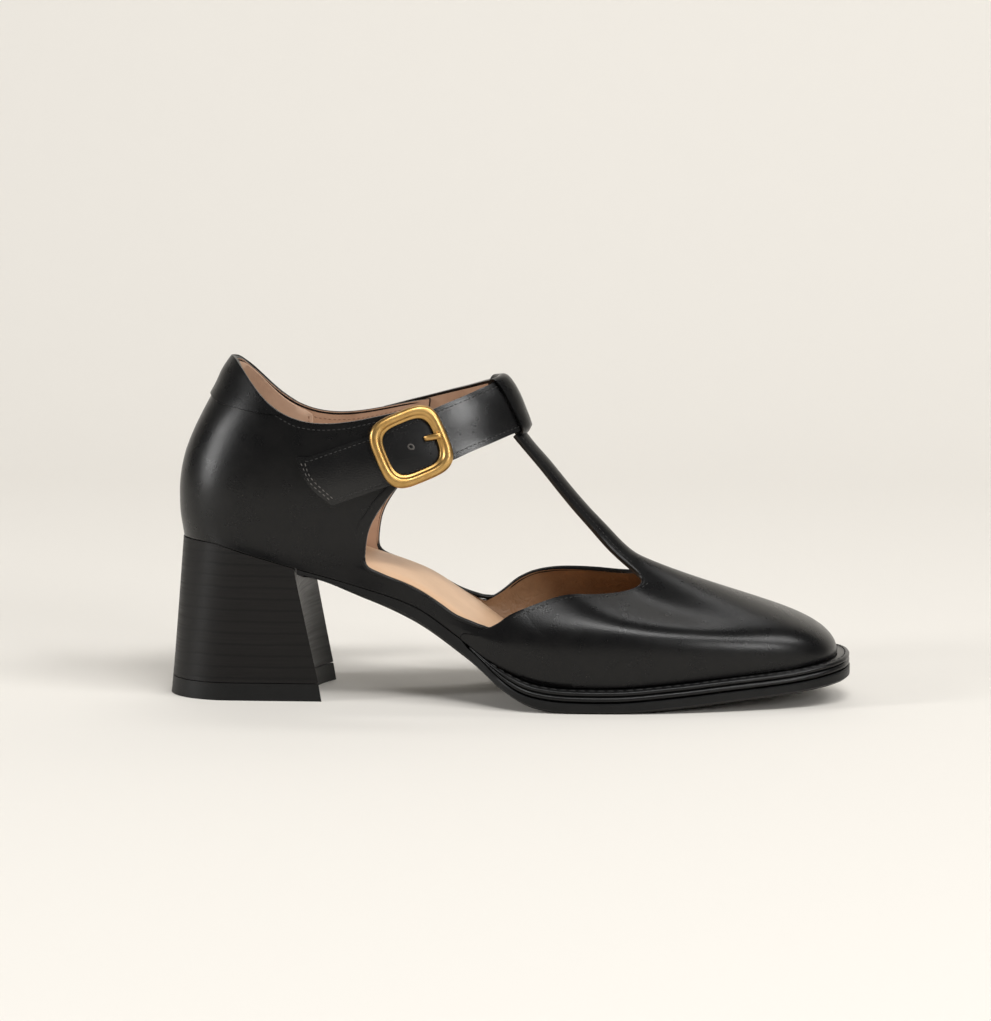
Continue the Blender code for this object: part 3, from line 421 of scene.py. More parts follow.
def outline(side, count=401):
    """One side of the upper's lower edge from the heel's back to the toe: (x, y), y signed."""
    column = 1 if side < 0 else 2
    rows = [(r[0] * SHOE_LENGTH, side * r[column] * BALL_WIDTH / 2) for r in OUTLINE_ROWS]
    return through(rows, count)


OUTLINES = {side: outline(side) for side in SIDES}
print("outline of the sole", len(OUTLINES[1]), "points on each side")


def outline_share(side, station):
    """Share of the outline's length at which it passes a station."""
    curve = OUTLINES[side]
    return float(np.interp(station * SHOE_LENGTH, curve[:, 0], np.linspace(0, 1, len(curve))))


def outline_at(side, share):
    curve = OUTLINES[side]
    return spaced(curve, np.linspace(0, 1, len(curve)), share)


def outward_at(side, share, nudge):
    """Level direction straight out of the outline at a share of its length."""
    if share >= 0.9999:
        tangent = np.array([0.0, -1.0 * side])
    elif share <= 0.0001:
        tangent = np.array([0.0, 1.0 * side])
    else:
        tangent = outline_at(side, min(share + nudge, 1)) - outline_at(side, max(share - nudge, 0))
    return unit(np.array([tangent[1], -tangent[0]]) * -side)

# %% [markdown]
# The heel and ankle are level sections, each an oval whose back is a little fuller than its front. A point
# on them is a turn from the back and a height. All that is cut from this form, such as the quarters, back
# tab, strap and T bar, asks for its points here, so the layers lie on each other without a gap.

# %% Level sections of the heel and ankle


def ring_sizes(height):
    """Back, widest place, front, half width and fullness of the back of the level section at a height."""
    level = (height - seat_height()) / BACK_HEIGHT
    back, middle, front = (SHOE_LENGTH * steady(RING_ROWS, level, k) for k in (1, 2, 3))
    return back, middle, front, ANKLE_WIDTH / 2 * steady(RING_ROWS, level, 4), steady(RING_ROWS, level, 5)


def on_ring(turn, height, side):
    """Point of the heel and ankle form: turn 0 is the back, pi / 2 the widest place and pi the front."""
    back, middle, front, half, fullness = ring_sizes(height)
    behind = turn < math.pi / 2
    reach = middle - back if behind else front - middle
    power = 2 / (fullness if behind else FRONT_FULLNESS)
    across = abs(math.sin(turn)) ** power
    along = abs(math.cos(turn)) ** power
    x = middle - reach * along if behind else middle + reach * along
    return np.array([x, side * half * across, height])


def ring_normal(turn, height, side):
    nudge = 0.004
    low = max(turn - nudge, 0.0001)
    high = min(turn + nudge, math.pi - 0.0001)
    along = on_ring(high, height, side) - on_ring(low, height, side)
    if turn + nudge > math.pi:
        along = np.array([0.0, -side, 0.0])
    if turn - nudge < 0:
        along = np.array([0.0, side, 0.0])
    up = on_ring(turn, height + 0.0005, side) - on_ring(turn, height - 0.0005, side)
    return unit(np.cross(up, along) * side)


def ring_turn_at(x, height):
    """The turn at which the ring of a height passes x."""
    back, middle, front, _, fullness = ring_sizes(height)
    if x < middle:
        share = min((middle - x) / (middle - back), 1.0)
        return math.acos(share ** (fullness / 2))
    share = min((x - middle) / (front - middle), 1.0)
    return math.pi - math.acos(share ** (FRONT_FULLNESS / 2))


def ring_turn_across(half, height):
    """The turn near the front at which the ring of a height is this far from its middle."""
    share = min(half / ring_sizes(height)[3], 1.0)
    return math.pi - math.asin(share ** (FRONT_FULLNESS / 2))


def lift_off(turn, height, side, offset):
    return on_ring(turn, height, side) + ring_normal(turn, height, side) * offset


def settled(share, end, side, start, height_of, tries=8):
    """Turn and height on the ring, at a share of the way to the end station, that meet height_of(station)."""
    height = start
    for _ in range(tries):
        turn = share * ring_turn_at(end * SHOE_LENGTH, height)
        height = height_of(on_ring(turn, height, side)[0] / SHOE_LENGTH)
    return turn, height

# %% [markdown]
# ## The upper's grid
#
# The upper is one sheet: quarters and counter at the back, low waist walls at the sides, vamp and T bar in
# front. It is laid out as one grid of columns from the lower edge upwards. Even, four-sided cells are worth
# the trouble, because a subdivided quad grid gives the clean highlights that leather shows.

# %% Columns of the quarter, waist, vamp and T bar


def rear_column(share, side):
    """One column of the quarter, from lower edge to collar, at a share of the way to its front edge."""
    edge_share = outline_share(side, QUARTER_EDGE_ROWS[0][1])
    foot = outline_at(side, edge_share * share)
    bottom = float(lower_edge(foot[0] / SHOE_LENGTH))
    front_bottom = float(lower_edge(QUARTER_EDGE_ROWS[0][1]))
    front_top = level_at(COLLAR_ROWS, QUARTER_EDGE_ROWS[-1][1])
    low_share = WAIST_LEVEL + share * (WAIST_WALL_HEIGHT / (front_top - front_bottom) - WAIST_LEVEL)
    first = seat_height() + BACK_HEIGHT * 0.8
    end = QUARTER_EDGE_ROWS[-1][1]
    top = settled(share, end, side, first, lambda station: level_at(COLLAR_ROWS, station), 12)[1]
    column = []
    for row in range(LOWER_ROWS + UPPER_ROWS + 1):
        if row <= LOWER_ROWS:
            climb = low_share * row / LOWER_ROWS
        else:
            climb = low_share + (1 - low_share) * (row - LOWER_ROWS) / UPPER_ROWS
        height = bottom + (top - bottom) * climb
        edge_height = front_bottom + (front_top - front_bottom) * climb
        level = (edge_height - seat_height()) / BACK_HEIGHT
        edge = ring_turn_at(SHOE_LENGTH * float(steady(QUARTER_EDGE_ROWS, level, 1)), edge_height)
        point = on_ring(share * edge, height, side)
        if row == 0:
            shift = np.array([foot[0], foot[1], bottom]) - point
        point = point + shift * (1 - climb) ** 5
        column.append(point)
    return column


def waist_column(share, side):
    """One column of the low wall beside the insole, between the quarter and the vamp."""
    start = outline_share(side, QUARTER_EDGE_ROWS[0][1])
    end = vamp_start(side)
    foot = outline_at(side, start + (end - start) * share)
    top = topline(0.0, side)
    first = rear_column(1.0, side)[: LOWER_ROWS + 1]
    foot_first = outline_at(side, start)
    foot_last = outline_at(side, end)
    column = []
    for row in range(LOWER_ROWS + 1):
        climb = row / LOWER_ROWS
        from_rear = first[row][:2] - foot_first
        from_vamp = (top[:2] - foot_last) * climb
        lean = from_rear * (1 - share) + from_vamp * share
        x = foot[0] + lean[0]
        y = foot[1] + lean[1] - side * WAIST_STEP * math.sin(math.pi * share)
        column.append(np.array([x, y, float(lower_edge(x / SHOE_LENGTH)) + WAIST_WALL_HEIGHT * climb]))
    return column

# %% [markdown]
# The vamp's top edge runs from the waist to the throat, and the T bar climbs from there to the strap. Its
# foot flares into the vamp over the lowest part of its length.

# %% Topline and T bar


def vamp_start(side):
    column = 1 if side < 0 else 4
    return outline_share(side, TOPLINE_ROWS[0][column] - VAMP_SLANT)


def topline(share, side):
    """Point of the vamp's top edge, from its waist end to the throat."""
    columns = (1, 2, 3) if side < 0 else (4, 5, 6)
    station, half, height = (float(steady(TOPLINE_ROWS, share, k)) for k in columns)
    x = station * SHOE_LENGTH
    return np.array([x, side * half * BALL_WIDTH / 2, float(lower_edge(station)) + THROAT_HEIGHT * height])


def throat_heights(side):
    """Heights of the throat's edge beside the T bar, and of the crest at the foot of the T bar."""
    edge = topline(1.0, side)[2]
    crest = (topline(1.0, -1)[2] + topline(1.0, 1)[2]) / 2 + THROAT_WIDTH * 0.31
    return edge, crest


def t_bar_point(across, climb, side):
    """Point of the T bar: across 0 is its edge and 1 its crest, climb 0 the throat and 1 its top."""
    edge, crest = throat_heights(side)
    flare = (1 - climb) ** 12
    half = T_BAR_WIDTH / 2 + (THROAT_WIDTH - T_BAR_WIDTH) / 2 * flare
    low = edge + (t_bar_top(T_BAR_WIDTH / 2, side) - edge) * climb
    high = crest + (t_bar_top(0.0, side) - crest) * climb
    height = low + (high - low) * math.sin(across * math.pi / 2)
    turn = ring_turn_across(half * (1 - across), height)
    return on_ring(turn, height, side)


def t_bar_top(half, side):
    """Height of the T bar's end, a little inside its loop, at a distance from its middle."""
    signed = side * (math.pi - ring_turn_across(half, seat_height() + BACK_HEIGHT * STRAP_ROWS[0][1]))
    return strap_turn_and_height(signed)[1] - STRAP_WIDTH / 2 - LOOP_WALL + T_BAR_LAP

# %% [markdown]
# A column of the vamp is a curve with two handles, from the sole to the topline. The handles give the round
# wall above the welt and the flat top of the toe box, and a few columns in the middle run on up the T bar.

# %% Columns of the vamp


def vamp_column(share, side):
    """One column of the vamp, from the lower edge to the topline, and on up the T bar."""
    t_bar_share = VAMP_COLUMNS / (VAMP_COLUMNS + T_BAR_COLUMNS)
    start = vamp_start(side)
    foot = outline_at(side, start + (1 - start) * share)
    base = np.array([foot[0], foot[1], float(lower_edge(foot[0] / SHOE_LENGTH))])
    if share <= t_bar_share:
        end = topline(share / t_bar_share, side)
    else:
        end = t_bar_point((share - t_bar_share) / (1 - t_bar_share), 0.0, side)
    rise, bulge, reach, outwards, down = (float(steady(VAMP_ROWS, share, k)) for k in range(1, 6))
    out = outward_at(side, start + (1 - start) * share, 0.004)
    lower = base + np.array([out[0] * bulge * BALL_WIDTH, out[1] * bulge * BALL_WIDTH, rise * BALL_WIDTH])
    upper = end + np.array([reach, side * outwards, -down]) * BALL_WIDTH
    column = []
    for row in range(LOWER_ROWS + 1):
        t = (row / LOWER_ROWS) ** (1 + 0.25 * share)
        point = base * (1 - t) ** 3 + 3 * lower * t * (1 - t) ** 2 + 3 * upper * t * t * (1 - t) + end * t**3
        column.append(point)
    if share >= t_bar_share - 1e-6:
        across = (share - t_bar_share) / (1 - t_bar_share)
        column += [t_bar_point(across, (row / UPPER_ROWS) ** 1.25, side) for row in range(1, UPPER_ROWS + 1)]
    return column

# %% [markdown]
# The columns of both sides are joined into one grid. Cells are made only where all four corners exist, and
# that leaves the side openings and the throat free.

# %% Join the columns


def side_columns(side):
    rear = [rear_column(i / REAR_COLUMNS, side) for i in range(REAR_COLUMNS + 1)]
    waist = [waist_column(i / WAIST_COLUMNS, side) for i in range(1, WAIST_COLUMNS)]
    count = VAMP_COLUMNS + T_BAR_COLUMNS
    vamp = [vamp_column(i / count, side) for i in range(count + 1)]
    return rear + waist + vamp


def upper_shell():
    """Points, cells and the points of the lower edge, of the grid round the whole shoe."""
    outer_side = side_columns(-1)
    inner_side = side_columns(1)
    columns = outer_side + inner_side[-2:0:-1]
    rows = LOWER_ROWS + UPPER_ROWS + 1
    index = {}
    points = []
    for i, column in enumerate(columns):
        for j, point in enumerate(column):
            index[i, j] = len(points)
            points.append(point)
    cells = []
    for i in range(len(columns)):
        k = (i + 1) % len(columns)
        for j in range(rows - 1):
            corners = [(i, j), (k, j), (k, j + 1), (i, j + 1)]
            if all(corner in index for corner in corners):
                cells.append([index[corner] for corner in corners])
    feet = [index[i, 0] for i in range(len(columns))]
    return np.array(points), np.array(cells), feet


def vertex_normals(points, cells):
    across = points[cells[:, 2]] - points[cells[:, 0]]
    up = points[cells[:, 3]] - points[cells[:, 1]]
    normal = np.cross(across, up)
    total = np.zeros_like(points)
    for k in range(4):
        np.add.at(total, cells[:, k], normal)
    return total / np.linalg.norm(total, axis=1)[:, None]

# %% [markdown]
# ## Strap line and sole lines
#
# The ankle strap follows the ankle's form, so a place on it is a distance along it, a distance across it
# and a lift off the ankle. The loop and the buckle sit on the strap, so they use the same places.

# %% Places along the strap


def strap_turn_and_height(signed_turn):
    """Ring turn, height and side at a turn from the ankle's front, minus on the outer side."""
    side = -1 if signed_turn < 0 else 1
    level = float(steady(STRAP_ROWS, abs(signed_turn), 1 if side < 0 else 2))
    return math.pi - abs(signed_turn), seat_height() + BACK_HEIGHT * level, side


def strap_middle(signed_turn):
    turn, height, side = strap_turn_and_height(signed_turn)
    return on_ring(turn, height, side)


STRAP_TURNS = np.linspace(-1.66, 1.40, 307)
STRAP_LINE = np.array([strap_middle(turn) for turn in STRAP_TURNS])
STRAP_LENGTHS = lengths_along(STRAP_LINE)
STRAP_PLACES = STRAP_LENGTHS - np.interp(0, STRAP_TURNS, STRAP_LENGTHS)
print("strap line", round(float(STRAP_PLACES[-1] - STRAP_PLACES[0]), 4), "m")


def on_strap(along, across, lift):
    """Point of the strap: distance along it from the front (minus outwards), across it, and off the ring."""
    turn_here = float(np.interp(along, STRAP_PLACES, STRAP_TURNS))
    nudge = 0.03
    ahead = strap_middle(turn_here + nudge)
    behind = strap_middle(turn_here - nudge)
    run = math.hypot(ahead[0] - behind[0], ahead[1] - behind[1])
    slope = math.atan2(ahead[2] - behind[2], run)
    shifted = along - across * math.sin(slope)
    turn_shifted = float(np.interp(shifted, STRAP_PLACES, STRAP_TURNS))
    middle_height = strap_turn_and_height(turn_here)[1]
    turn, _, side = strap_turn_and_height(turn_shifted)
    return lift_off(turn, middle_height + across * math.cos(slope), side, lift)


def loop_places():
    return np.linspace(-LOOP_WIDTH / 2, LOOP_WIDTH / 2, LOOP_STEPS + 1)


def cushion_outline(turn, length, height):
    """Point of a square with bowed sides and well rounded corners."""
    fullness = 3.6
    scale = (abs(math.cos(turn)) ** fullness + abs(math.sin(turn)) ** fullness) ** (-1 / fullness)
    return length / 2 * scale * math.cos(turn), height / 2 * scale * math.sin(turn)

# %% [markdown]
# The sole's outline is the upper's lower edge, moved outwards. The welt stands out round the forefoot and
# fades towards the waist, where the sole is flush with the upper, so the margin depends on the station.

# %% Side lines of the sole


def bottom_loop(margin, start, count):
    """The sole's two side lines from a start station: the upper's lower edge moved out by margin(station)."""
    sides = []
    for side in SIDES:
        first = outline_share(side, start) if start > OUTLINE_ROWS[0][0] else 0.0
        shares = np.linspace(first, 1, count)
        line = []
        for share in shares:
            here = outline_at(side, share)
            line.append(here + outward_at(side, share, 0.003) * margin(here[0] / SHOE_LENGTH))
        sides.append(line)
    return sides[0], sides[1]


def welt_share(station):
    """How much of the welt there is: none behind its waist ends, all of it from the ball on."""
    return ease((station - MARGIN_START) / MARGIN_FADE)


def sole_margin(station):
    return WELT_MARGIN * welt_share(station) + FIT_GAP * (1 - welt_share(station))


def welt_blend(station):
    """Thickness of the welt at a station, as a share: thin at its waist ends, full from the ball on."""
    return 0.18 + 0.82 * ease((station - WELT_START) / WELT_FADE)

# %% [markdown]
# ## Making pieces
#
# Every piece goes through the same steps as in a workshop: lay out the sheet, give it a wall, merge its
# seams, turn its faces outwards, crease its edges, subdivide it, and smooth its shading. One function does
# them all, so all pieces are finished alike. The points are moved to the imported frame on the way.

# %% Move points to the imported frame
outer_line = bottom_loop(sole_margin, HEEL_TOP_FRONT + BREAST_CLEARANCE, 31)[0]
TO_FRAME = np.array([CAD_BOX[0].x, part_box("outsole")[0].y - min(p[1] for p in outer_line), 0.0])


def placed(points):
    return np.array(points, float) + TO_FRAME

# %% [markdown]
# A few helpers turn points into surfaces. One gives an open sheet a wall, as the Solidify modifier would, but
# it keeps the foot of the upper level. Two loft columns, closed or as an open sheet, and one sweeps a closed
# section along a line.

# %% Walls, lofts and sweeps


def walled(points, cells, outward, inward, level=()):
    """A closed shell from an open grid, and a material index per face: 0 outside and edges, 1 inside."""
    normal = vertex_normals(points, cells)
    for i in level:
        normal[i, 2] = 0.0
        normal[i] = unit(normal[i])
    count = len(points)
    both = np.concatenate([points + normal * outward, points - normal * inward])
    faces = [list(cell) for cell in cells] + [[c + count for c in cell[::-1]] for cell in cells]
    kinds = [0] * len(cells) + [1] * len(cells)
    edges = {}
    for cell in cells:
        for a, b in zip(cell, np.roll(cell, -1)):
            edges[int(a), int(b)] = True
    for a, b in edges:
        if (b, a) not in edges:
            faces.append([b, a, a + count, b + count])
            kinds.append(0)
    return both, faces, kinds


def lofted(columns, closed=True):
    """Points and faces of a surface through columns of equally many points."""
    rows = len(columns[0])
    points = [point for column in columns for point in column]
    faces = []
    last = len(columns) if closed else len(columns) - 1
    for i in range(last):
        k = (i + 1) % len(columns)
        for j in range(rows - 1):
            faces.append([i * rows + j, k * rows + j, k * rows + j + 1, i * rows + j + 1])
    return points, faces


def sheet_of(columns):
    """An open sheet through columns, as arrays of points and cells."""
    points, cells = lofted(columns, closed=False)
    return np.array(points), np.array(cells)


def swept(sections):
    """Points and faces of a tube through closed sections, with flat ends."""
    size = len(sections[0])
    points = [point for section in sections for point in section]
    faces = [list(range(size)), [len(points) - 1 - i for i in range(size)]]
    for i in range(len(sections) - 1):
        for j in range(size):
            k = (j + 1) % size
            faces.append([i * size + j, i * size + k, (i + 1) * size + k, (i + 1) * size + j])
    return points, faces

# %% [markdown]
# A new object is linked to the scene's collection. Operators act on what is selected, so everything is
# deselected before one runs.

# %% Add and select objects


def add_object(name, data):
    obj = bpy.data.objects.new(name, data)
    bpy.context.scene.collection.objects.link(obj)
    return obj


def only(obj):
    """Deselects everything, then makes this the one active and selected object."""
    bpy.ops.object.select_all(action="DESELECT")
    obj.select_set(True)
    bpy.context.view_layer.objects.active = obj

# %% [markdown]
# One function finishes every piece. A mesh from lists of points has double points along its seams, so they
# are merged first, and its faces are turned outwards before anything is subdivided. Sharp edges get a
# crease, which keeps them crisp under the subdivision. The finished piece gets its body and the solids that
# it stands for.

# %% Finish every piece alike
MERGE_DISTANCE = 0.00001


def piece(
    name, points, faces, slot, materials, nodes=(), kinds=None, levels=0, crease=0.0, over=50, smooth=40
):
    """A piece of the shoe: merged, faced outwards, edges past `over` degrees creased, and subdivided."""
    mesh = bpy.data.meshes.new(name)
    mesh.from_pydata([tuple(p) for p in placed(points)], [], [list(map(int, f)) for f in faces])
    for material in materials:
        mesh.materials.append(material)
    if kinds is not None:
        mesh.polygons.foreach_set("material_index", kinds)
    shape = bmesh.new()
    shape.from_mesh(mesh)
    bmesh.ops.remove_doubles(shape, verts=shape.verts, dist=MERGE_DISTANCE)
    bmesh.ops.dissolve_degenerate(shape, dist=MERGE_DISTANCE, edges=shape.edges)
    bmesh.ops.recalc_face_normals(shape, faces=shape.faces)
    if shape.calc_volume(signed=True) < 0:
        bmesh.ops.reverse_faces(shape, faces=shape.faces)
    if crease:
        layer = shape.edges.layers.float.new("crease_edge")
        for edge in shape.edges:
            if len(edge.link_faces) == 2 and edge.calc_face_angle(0.0) > math.radians(over):
                edge[layer] = crease
    shape.to_mesh(mesh)
    shape.free()
    obj = add_object(name, mesh)
    only(obj)
    if levels:
        modifier = obj.modifiers.new("smooth", "SUBSURF")
        modifier.levels = levels
        bpy.ops.object.modifier_apply(modifier=modifier.name)
    bpy.ops.object.shade_smooth_by_angle(angle=math.radians(smooth))
    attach(obj, "root")
    if nodes:
        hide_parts(*nodes)
    print(name, len(obj.data.polygons), "faces")
    return obj


def surface_of(*objects):
    """A tree for finding the nearest surface point of these pieces."""
    points = []
    faces = []
    for obj in objects:
        first = len(points)
        points += [v.co.copy() for v in obj.data.vertices]
        faces += [[first + i for i in p.vertices] for p in obj.data.polygons]
    return BVHTree.FromPolygons(points, faces)

# %% [markdown]
# ## Materials
#
# The real shoe has four finishes: pebbled black calf, soft tan lining, black rubber and stacked leather,
# and a burnished antique gold. They are procedural, in metres on Object coordinates, so that the grain has
# the same size on every piece and nothing slides in other views. These helpers add and join nodes.

# %% Helpers for nodes


def add_node(tree, kind, **values):
    """A node with its inputs set by name, words joined by _, numbers in a tuple as a vector or colour."""
    node = tree.nodes.new(kind)
    for key, value in values.items():
        node.inputs[key.replace("_", " ")].default_value = value
    return node


def ramp(tree, source, low, high, from_low=0.0, from_high=1.0):
    node = tree.nodes.new("ShaderNodeMapRange")
    node.inputs["From Min"].default_value = from_low
    node.inputs["From Max"].default_value = from_high
    node.inputs["To Min"].default_value = low
    node.inputs["To Max"].default_value = high
    tree.links.new(source, node.inputs["Value"])
    return node.outputs["Result"]


def two_colours(tree, factor, first, second):
    node = tree.nodes.new("ShaderNodeMix")
    node.data_type = "RGBA"
    node.inputs["A"].default_value = (*first, 1.0)
    node.inputs["B"].default_value = (*second, 1.0)
    tree.links.new(factor, node.inputs["Factor"])
    return node.outputs["Result"]


def calculate(tree, operation, first, second):
    node = tree.nodes.new("ShaderNodeMath")
    node.operation = operation
    for socket, value in zip(node.inputs, (first, second)):
        if isinstance(value, (int, float)):
            socket.default_value = value
        else:
            tree.links.new(value, socket)
    return node.outputs[0]


def new_group(name, inputs, outputs):
    group = bpy.data.node_groups.new(name, "ShaderNodeTree")
    for label, kind, value in inputs:
        socket = group.interface.new_socket(name=label, in_out="INPUT", socket_type=kind)
        if value is not None:
            socket.default_value = value
    for label in outputs:
        group.interface.new_socket(name=label, in_out="OUTPUT", socket_type="NodeSocketFloat")
    return group, group.nodes.new("NodeGroupInput"), group.nodes.new("NodeGroupOutput")

# %% [markdown]
# Two effects are shared by several materials, so each is a node group, built once. Calf grain is rounded
# cells broken by noise with slow unevenness. Lining nap is a fibre noise with soft creases. Both give
# heights in metres and one mask.

# %% Node groups for grain and nap


def make_grain_group():
    """Pebbled grain: rounded cells broken by noise, and slow unevenness. Heights are in metres."""
    inputs = [
        ("Place", "NodeSocketVector", None),
        ("Cells per metre", "NodeSocketFloat", 2300.0),
        ("Depth", "NodeSocketFloat", 0.00002),
        ("Swell", "NodeSocketFloat", 0.0001),
    ]
    group, start, end = new_group("Calf grain", inputs, ("Height", "Wear"))
    cells = add_node(group, "ShaderNodeTexVoronoi")
    cells.feature = "SMOOTH_F1"
    cells.inputs["Smoothness"].default_value = 0.7
    group.links.new(start.outputs["Place"], cells.inputs["Vector"])
    group.links.new(start.outputs["Cells per metre"], cells.inputs["Scale"])
    rough = add_node(group, "ShaderNodeTexNoise", Scale=3800.0, Detail=2.0, Roughness=0.5)
    slow = add_node(group, "ShaderNodeTexNoise", Scale=55.0, Detail=2.0, Roughness=0.45)
    wear = add_node(group, "ShaderNodeTexNoise", Scale=130.0, Detail=5.0, Roughness=0.6)
    for node in (rough, slow, wear):
        group.links.new(start.outputs["Place"], node.inputs["Vector"])
    broken = calculate(group, "MULTIPLY", rough.outputs["Fac"], 0.7)
    pebble = calculate(group, "ADD", cells.outputs["Distance"], broken)
    fine = calculate(group, "MULTIPLY", pebble, start.outputs["Depth"])
    swell = calculate(group, "MULTIPLY", slow.outputs["Fac"], start.outputs["Swell"])
    group.links.new(calculate(group, "ADD", fine, swell), end.inputs["Height"])
    group.links.new(wear.outputs["Fac"], end.inputs["Wear"])
    return group


def make_fibre_group():
    """Fine matte nap with soft creases, for lining, cut edges and thread."""
    inputs = [
        ("Place", "NodeSocketVector", None),
        ("Depth", "NodeSocketFloat", 0.00003),
        ("Creases", "NodeSocketFloat", 0.00006),
    ]
    group, start, end = new_group("Lining nap", inputs, ("Height", "Tone"))
    nap = add_node(group, "ShaderNodeTexNoise", Scale=2100.0, Detail=4.0, Roughness=0.65)
    tone = add_node(group, "ShaderNodeTexNoise", Scale=90.0, Detail=4.0, Roughness=0.6)
    creases = add_node(group, "ShaderNodeTexNoise", Scale=240.0, Detail=2.0, Roughness=0.5, Distortion=0.8)
    for node in (nap, tone, creases):
        group.links.new(start.outputs["Place"], node.inputs["Vector"])
    ridged = calculate(group, "ABSOLUTE", calculate(group, "SUBTRACT", creases.outputs["Fac"], 0.5), 0.0)
    fine = calculate(group, "MULTIPLY", nap.outputs["Fac"], start.outputs["Depth"])
    soft = calculate(group, "MULTIPLY", ridged, start.outputs["Creases"])
    group.links.new(calculate(group, "ADD", fine, soft), end.inputs["Height"])
    group.links.new(tone.outputs["Fac"], end.inputs["Tone"])
    return group


GRAIN = make_grain_group()
FIBRE = make_fibre_group()

# %% [markdown]
# Each finish has its own maker: it sets the plain numbers on the shader's sockets and feeds colour,
# roughness and bump from the groups.

# %% Makers of the finishes


def new_material(name, roughness=0.5, metallic=0.0, **sockets):
    material = bpy.data.materials.new(name)
    material.use_nodes = True
    tree = material.node_tree
    shader = tree.nodes["Principled BSDF"]
    shader.inputs["Roughness"].default_value = roughness
    shader.inputs["Metallic"].default_value = metallic
    for key, value in sockets.items():
        shader.inputs[key.replace("_", " ")].default_value = value
    place = tree.nodes.new("ShaderNodeTexCoord").outputs["Object"]
    return material, tree, shader, place


def add_bump(tree, shader, height, strength=1.0):
    bump = add_node(tree, "ShaderNodeBump", Strength=strength, Distance=1.0)
    tree.links.new(height, bump.inputs["Height"])
    tree.links.new(bump.outputs["Normal"], shader.inputs["Normal"])


def use_group(tree, group, place, **values):
    node = tree.nodes.new("ShaderNodeGroup")
    node.node_tree = group
    tree.links.new(place, node.inputs["Place"])
    for key, value in values.items():
        node.inputs[key.replace("_", " ")].default_value = value
    return node


def calf_material(name, dark, light, rough_low, rough_high, depth, swell, shine):
    material, tree, shader, place = new_material(name, Specular_IOR_Level=shine)
    grain = use_group(tree, GRAIN, place, Depth=depth, Swell=swell)
    wear = grain.outputs["Wear"]
    colour = two_colours(tree, ramp(tree, wear, 0.0, 1.0, 0.35, 0.7), dark, light)
    tree.links.new(colour, shader.inputs["Base Color"])
    tree.links.new(ramp(tree, wear, rough_low, rough_high, 0.3, 0.7), shader.inputs["Roughness"])
    add_bump(tree, shader, grain.outputs["Height"])
    return material


def lining_material(name, dark, light, roughness, depth=0.00003, creases=0.00006, shine=0.5):
    material, tree, shader, place = new_material(name, roughness, Specular_IOR_Level=shine)
    nap = use_group(tree, FIBRE, place, Depth=depth, Creases=creases)
    tone = ramp(tree, nap.outputs["Tone"], 0.0, 1.0, 0.3, 0.7)
    tree.links.new(two_colours(tree, tone, dark, light), shader.inputs["Base Color"])
    add_bump(tree, shader, nap.outputs["Height"])
    return material

# %% [markdown]
# The heel's stack and the buckle have looks of their own. The stack has thin level layers, from a wave
# along Z and noise stretched along them. The buckle is a metal with a slow patina and fine brushing.

# %% Makers of the stack and the metal


def stacked_material():
    """Black stained stack: thin level layers with faint streaks along them."""
    material, tree, shader, place = new_material("stacked leather", 0.42, Specular_IOR_Level=0.22)
    stretch = add_node(tree, "ShaderNodeMapping", Scale=(38.0, 38.0, 1500.0))
    tree.links.new(place, stretch.inputs["Vector"])
    streaks = add_node(tree, "ShaderNodeTexNoise", Scale=1.0, Detail=3.0, Roughness=0.6)
    tree.links.new(stretch.outputs["Vector"], streaks.inputs["Vector"])
    layers = add_node(tree, "ShaderNodeTexWave", Scale=75.0, Distortion=0.6, Detail=2.0, Detail_Scale=1.0)
    layers.wave_type = "BANDS"
    layers.bands_direction = "Z"
    tree.links.new(place, layers.inputs["Vector"])
    line = ramp(tree, layers.outputs["Fac"], 0.35, 1.0, 0.0, 0.16)
    mixed = calculate(tree, "MULTIPLY", streaks.outputs["Fac"], line)
    tone = ramp(tree, mixed, 0.0, 1.0, 0.15, 0.75)
    colour = two_colours(tree, tone, (0.0022, 0.0020, 0.0020), (0.0075, 0.0066, 0.0062))
    tree.links.new(colour, shader.inputs["Base Color"])
    tree.links.new(ramp(tree, streaks.outputs["Fac"], 0.36, 0.52, 0.3, 0.7), shader.inputs["Roughness"])
    height = calculate(tree, "MULTIPLY", mixed, 0.00006)
    add_bump(tree, shader, height, 0.7)
    return material


def brass_material():
    """Antique gold: burnished, a little darker where it is dull."""
    material, tree, shader, place = new_material("antique brass", 0.28, 1.0)
    patina = add_node(tree, "ShaderNodeTexNoise", Scale=200.0, Detail=2.0, Roughness=0.5)
    brushed = add_node(tree, "ShaderNodeTexNoise", Scale=2400.0, Detail=2.0)
    for node in (patina, brushed):
        tree.links.new(place, node.inputs["Vector"])
    tone = ramp(tree, patina.outputs["Fac"], 0.0, 1.0, 0.35, 0.65)
    colour = two_colours(tree, tone, (0.45, 0.265, 0.085), (0.58, 0.36, 0.13))
    tree.links.new(colour, shader.inputs["Base Color"])
    tree.links.new(ramp(tree, tone, 0.38, 0.32), shader.inputs["Roughness"])
    add_bump(tree, shader, calculate(tree, "MULTIPLY", brushed.outputs["Fac"], 0.000003))
    return material
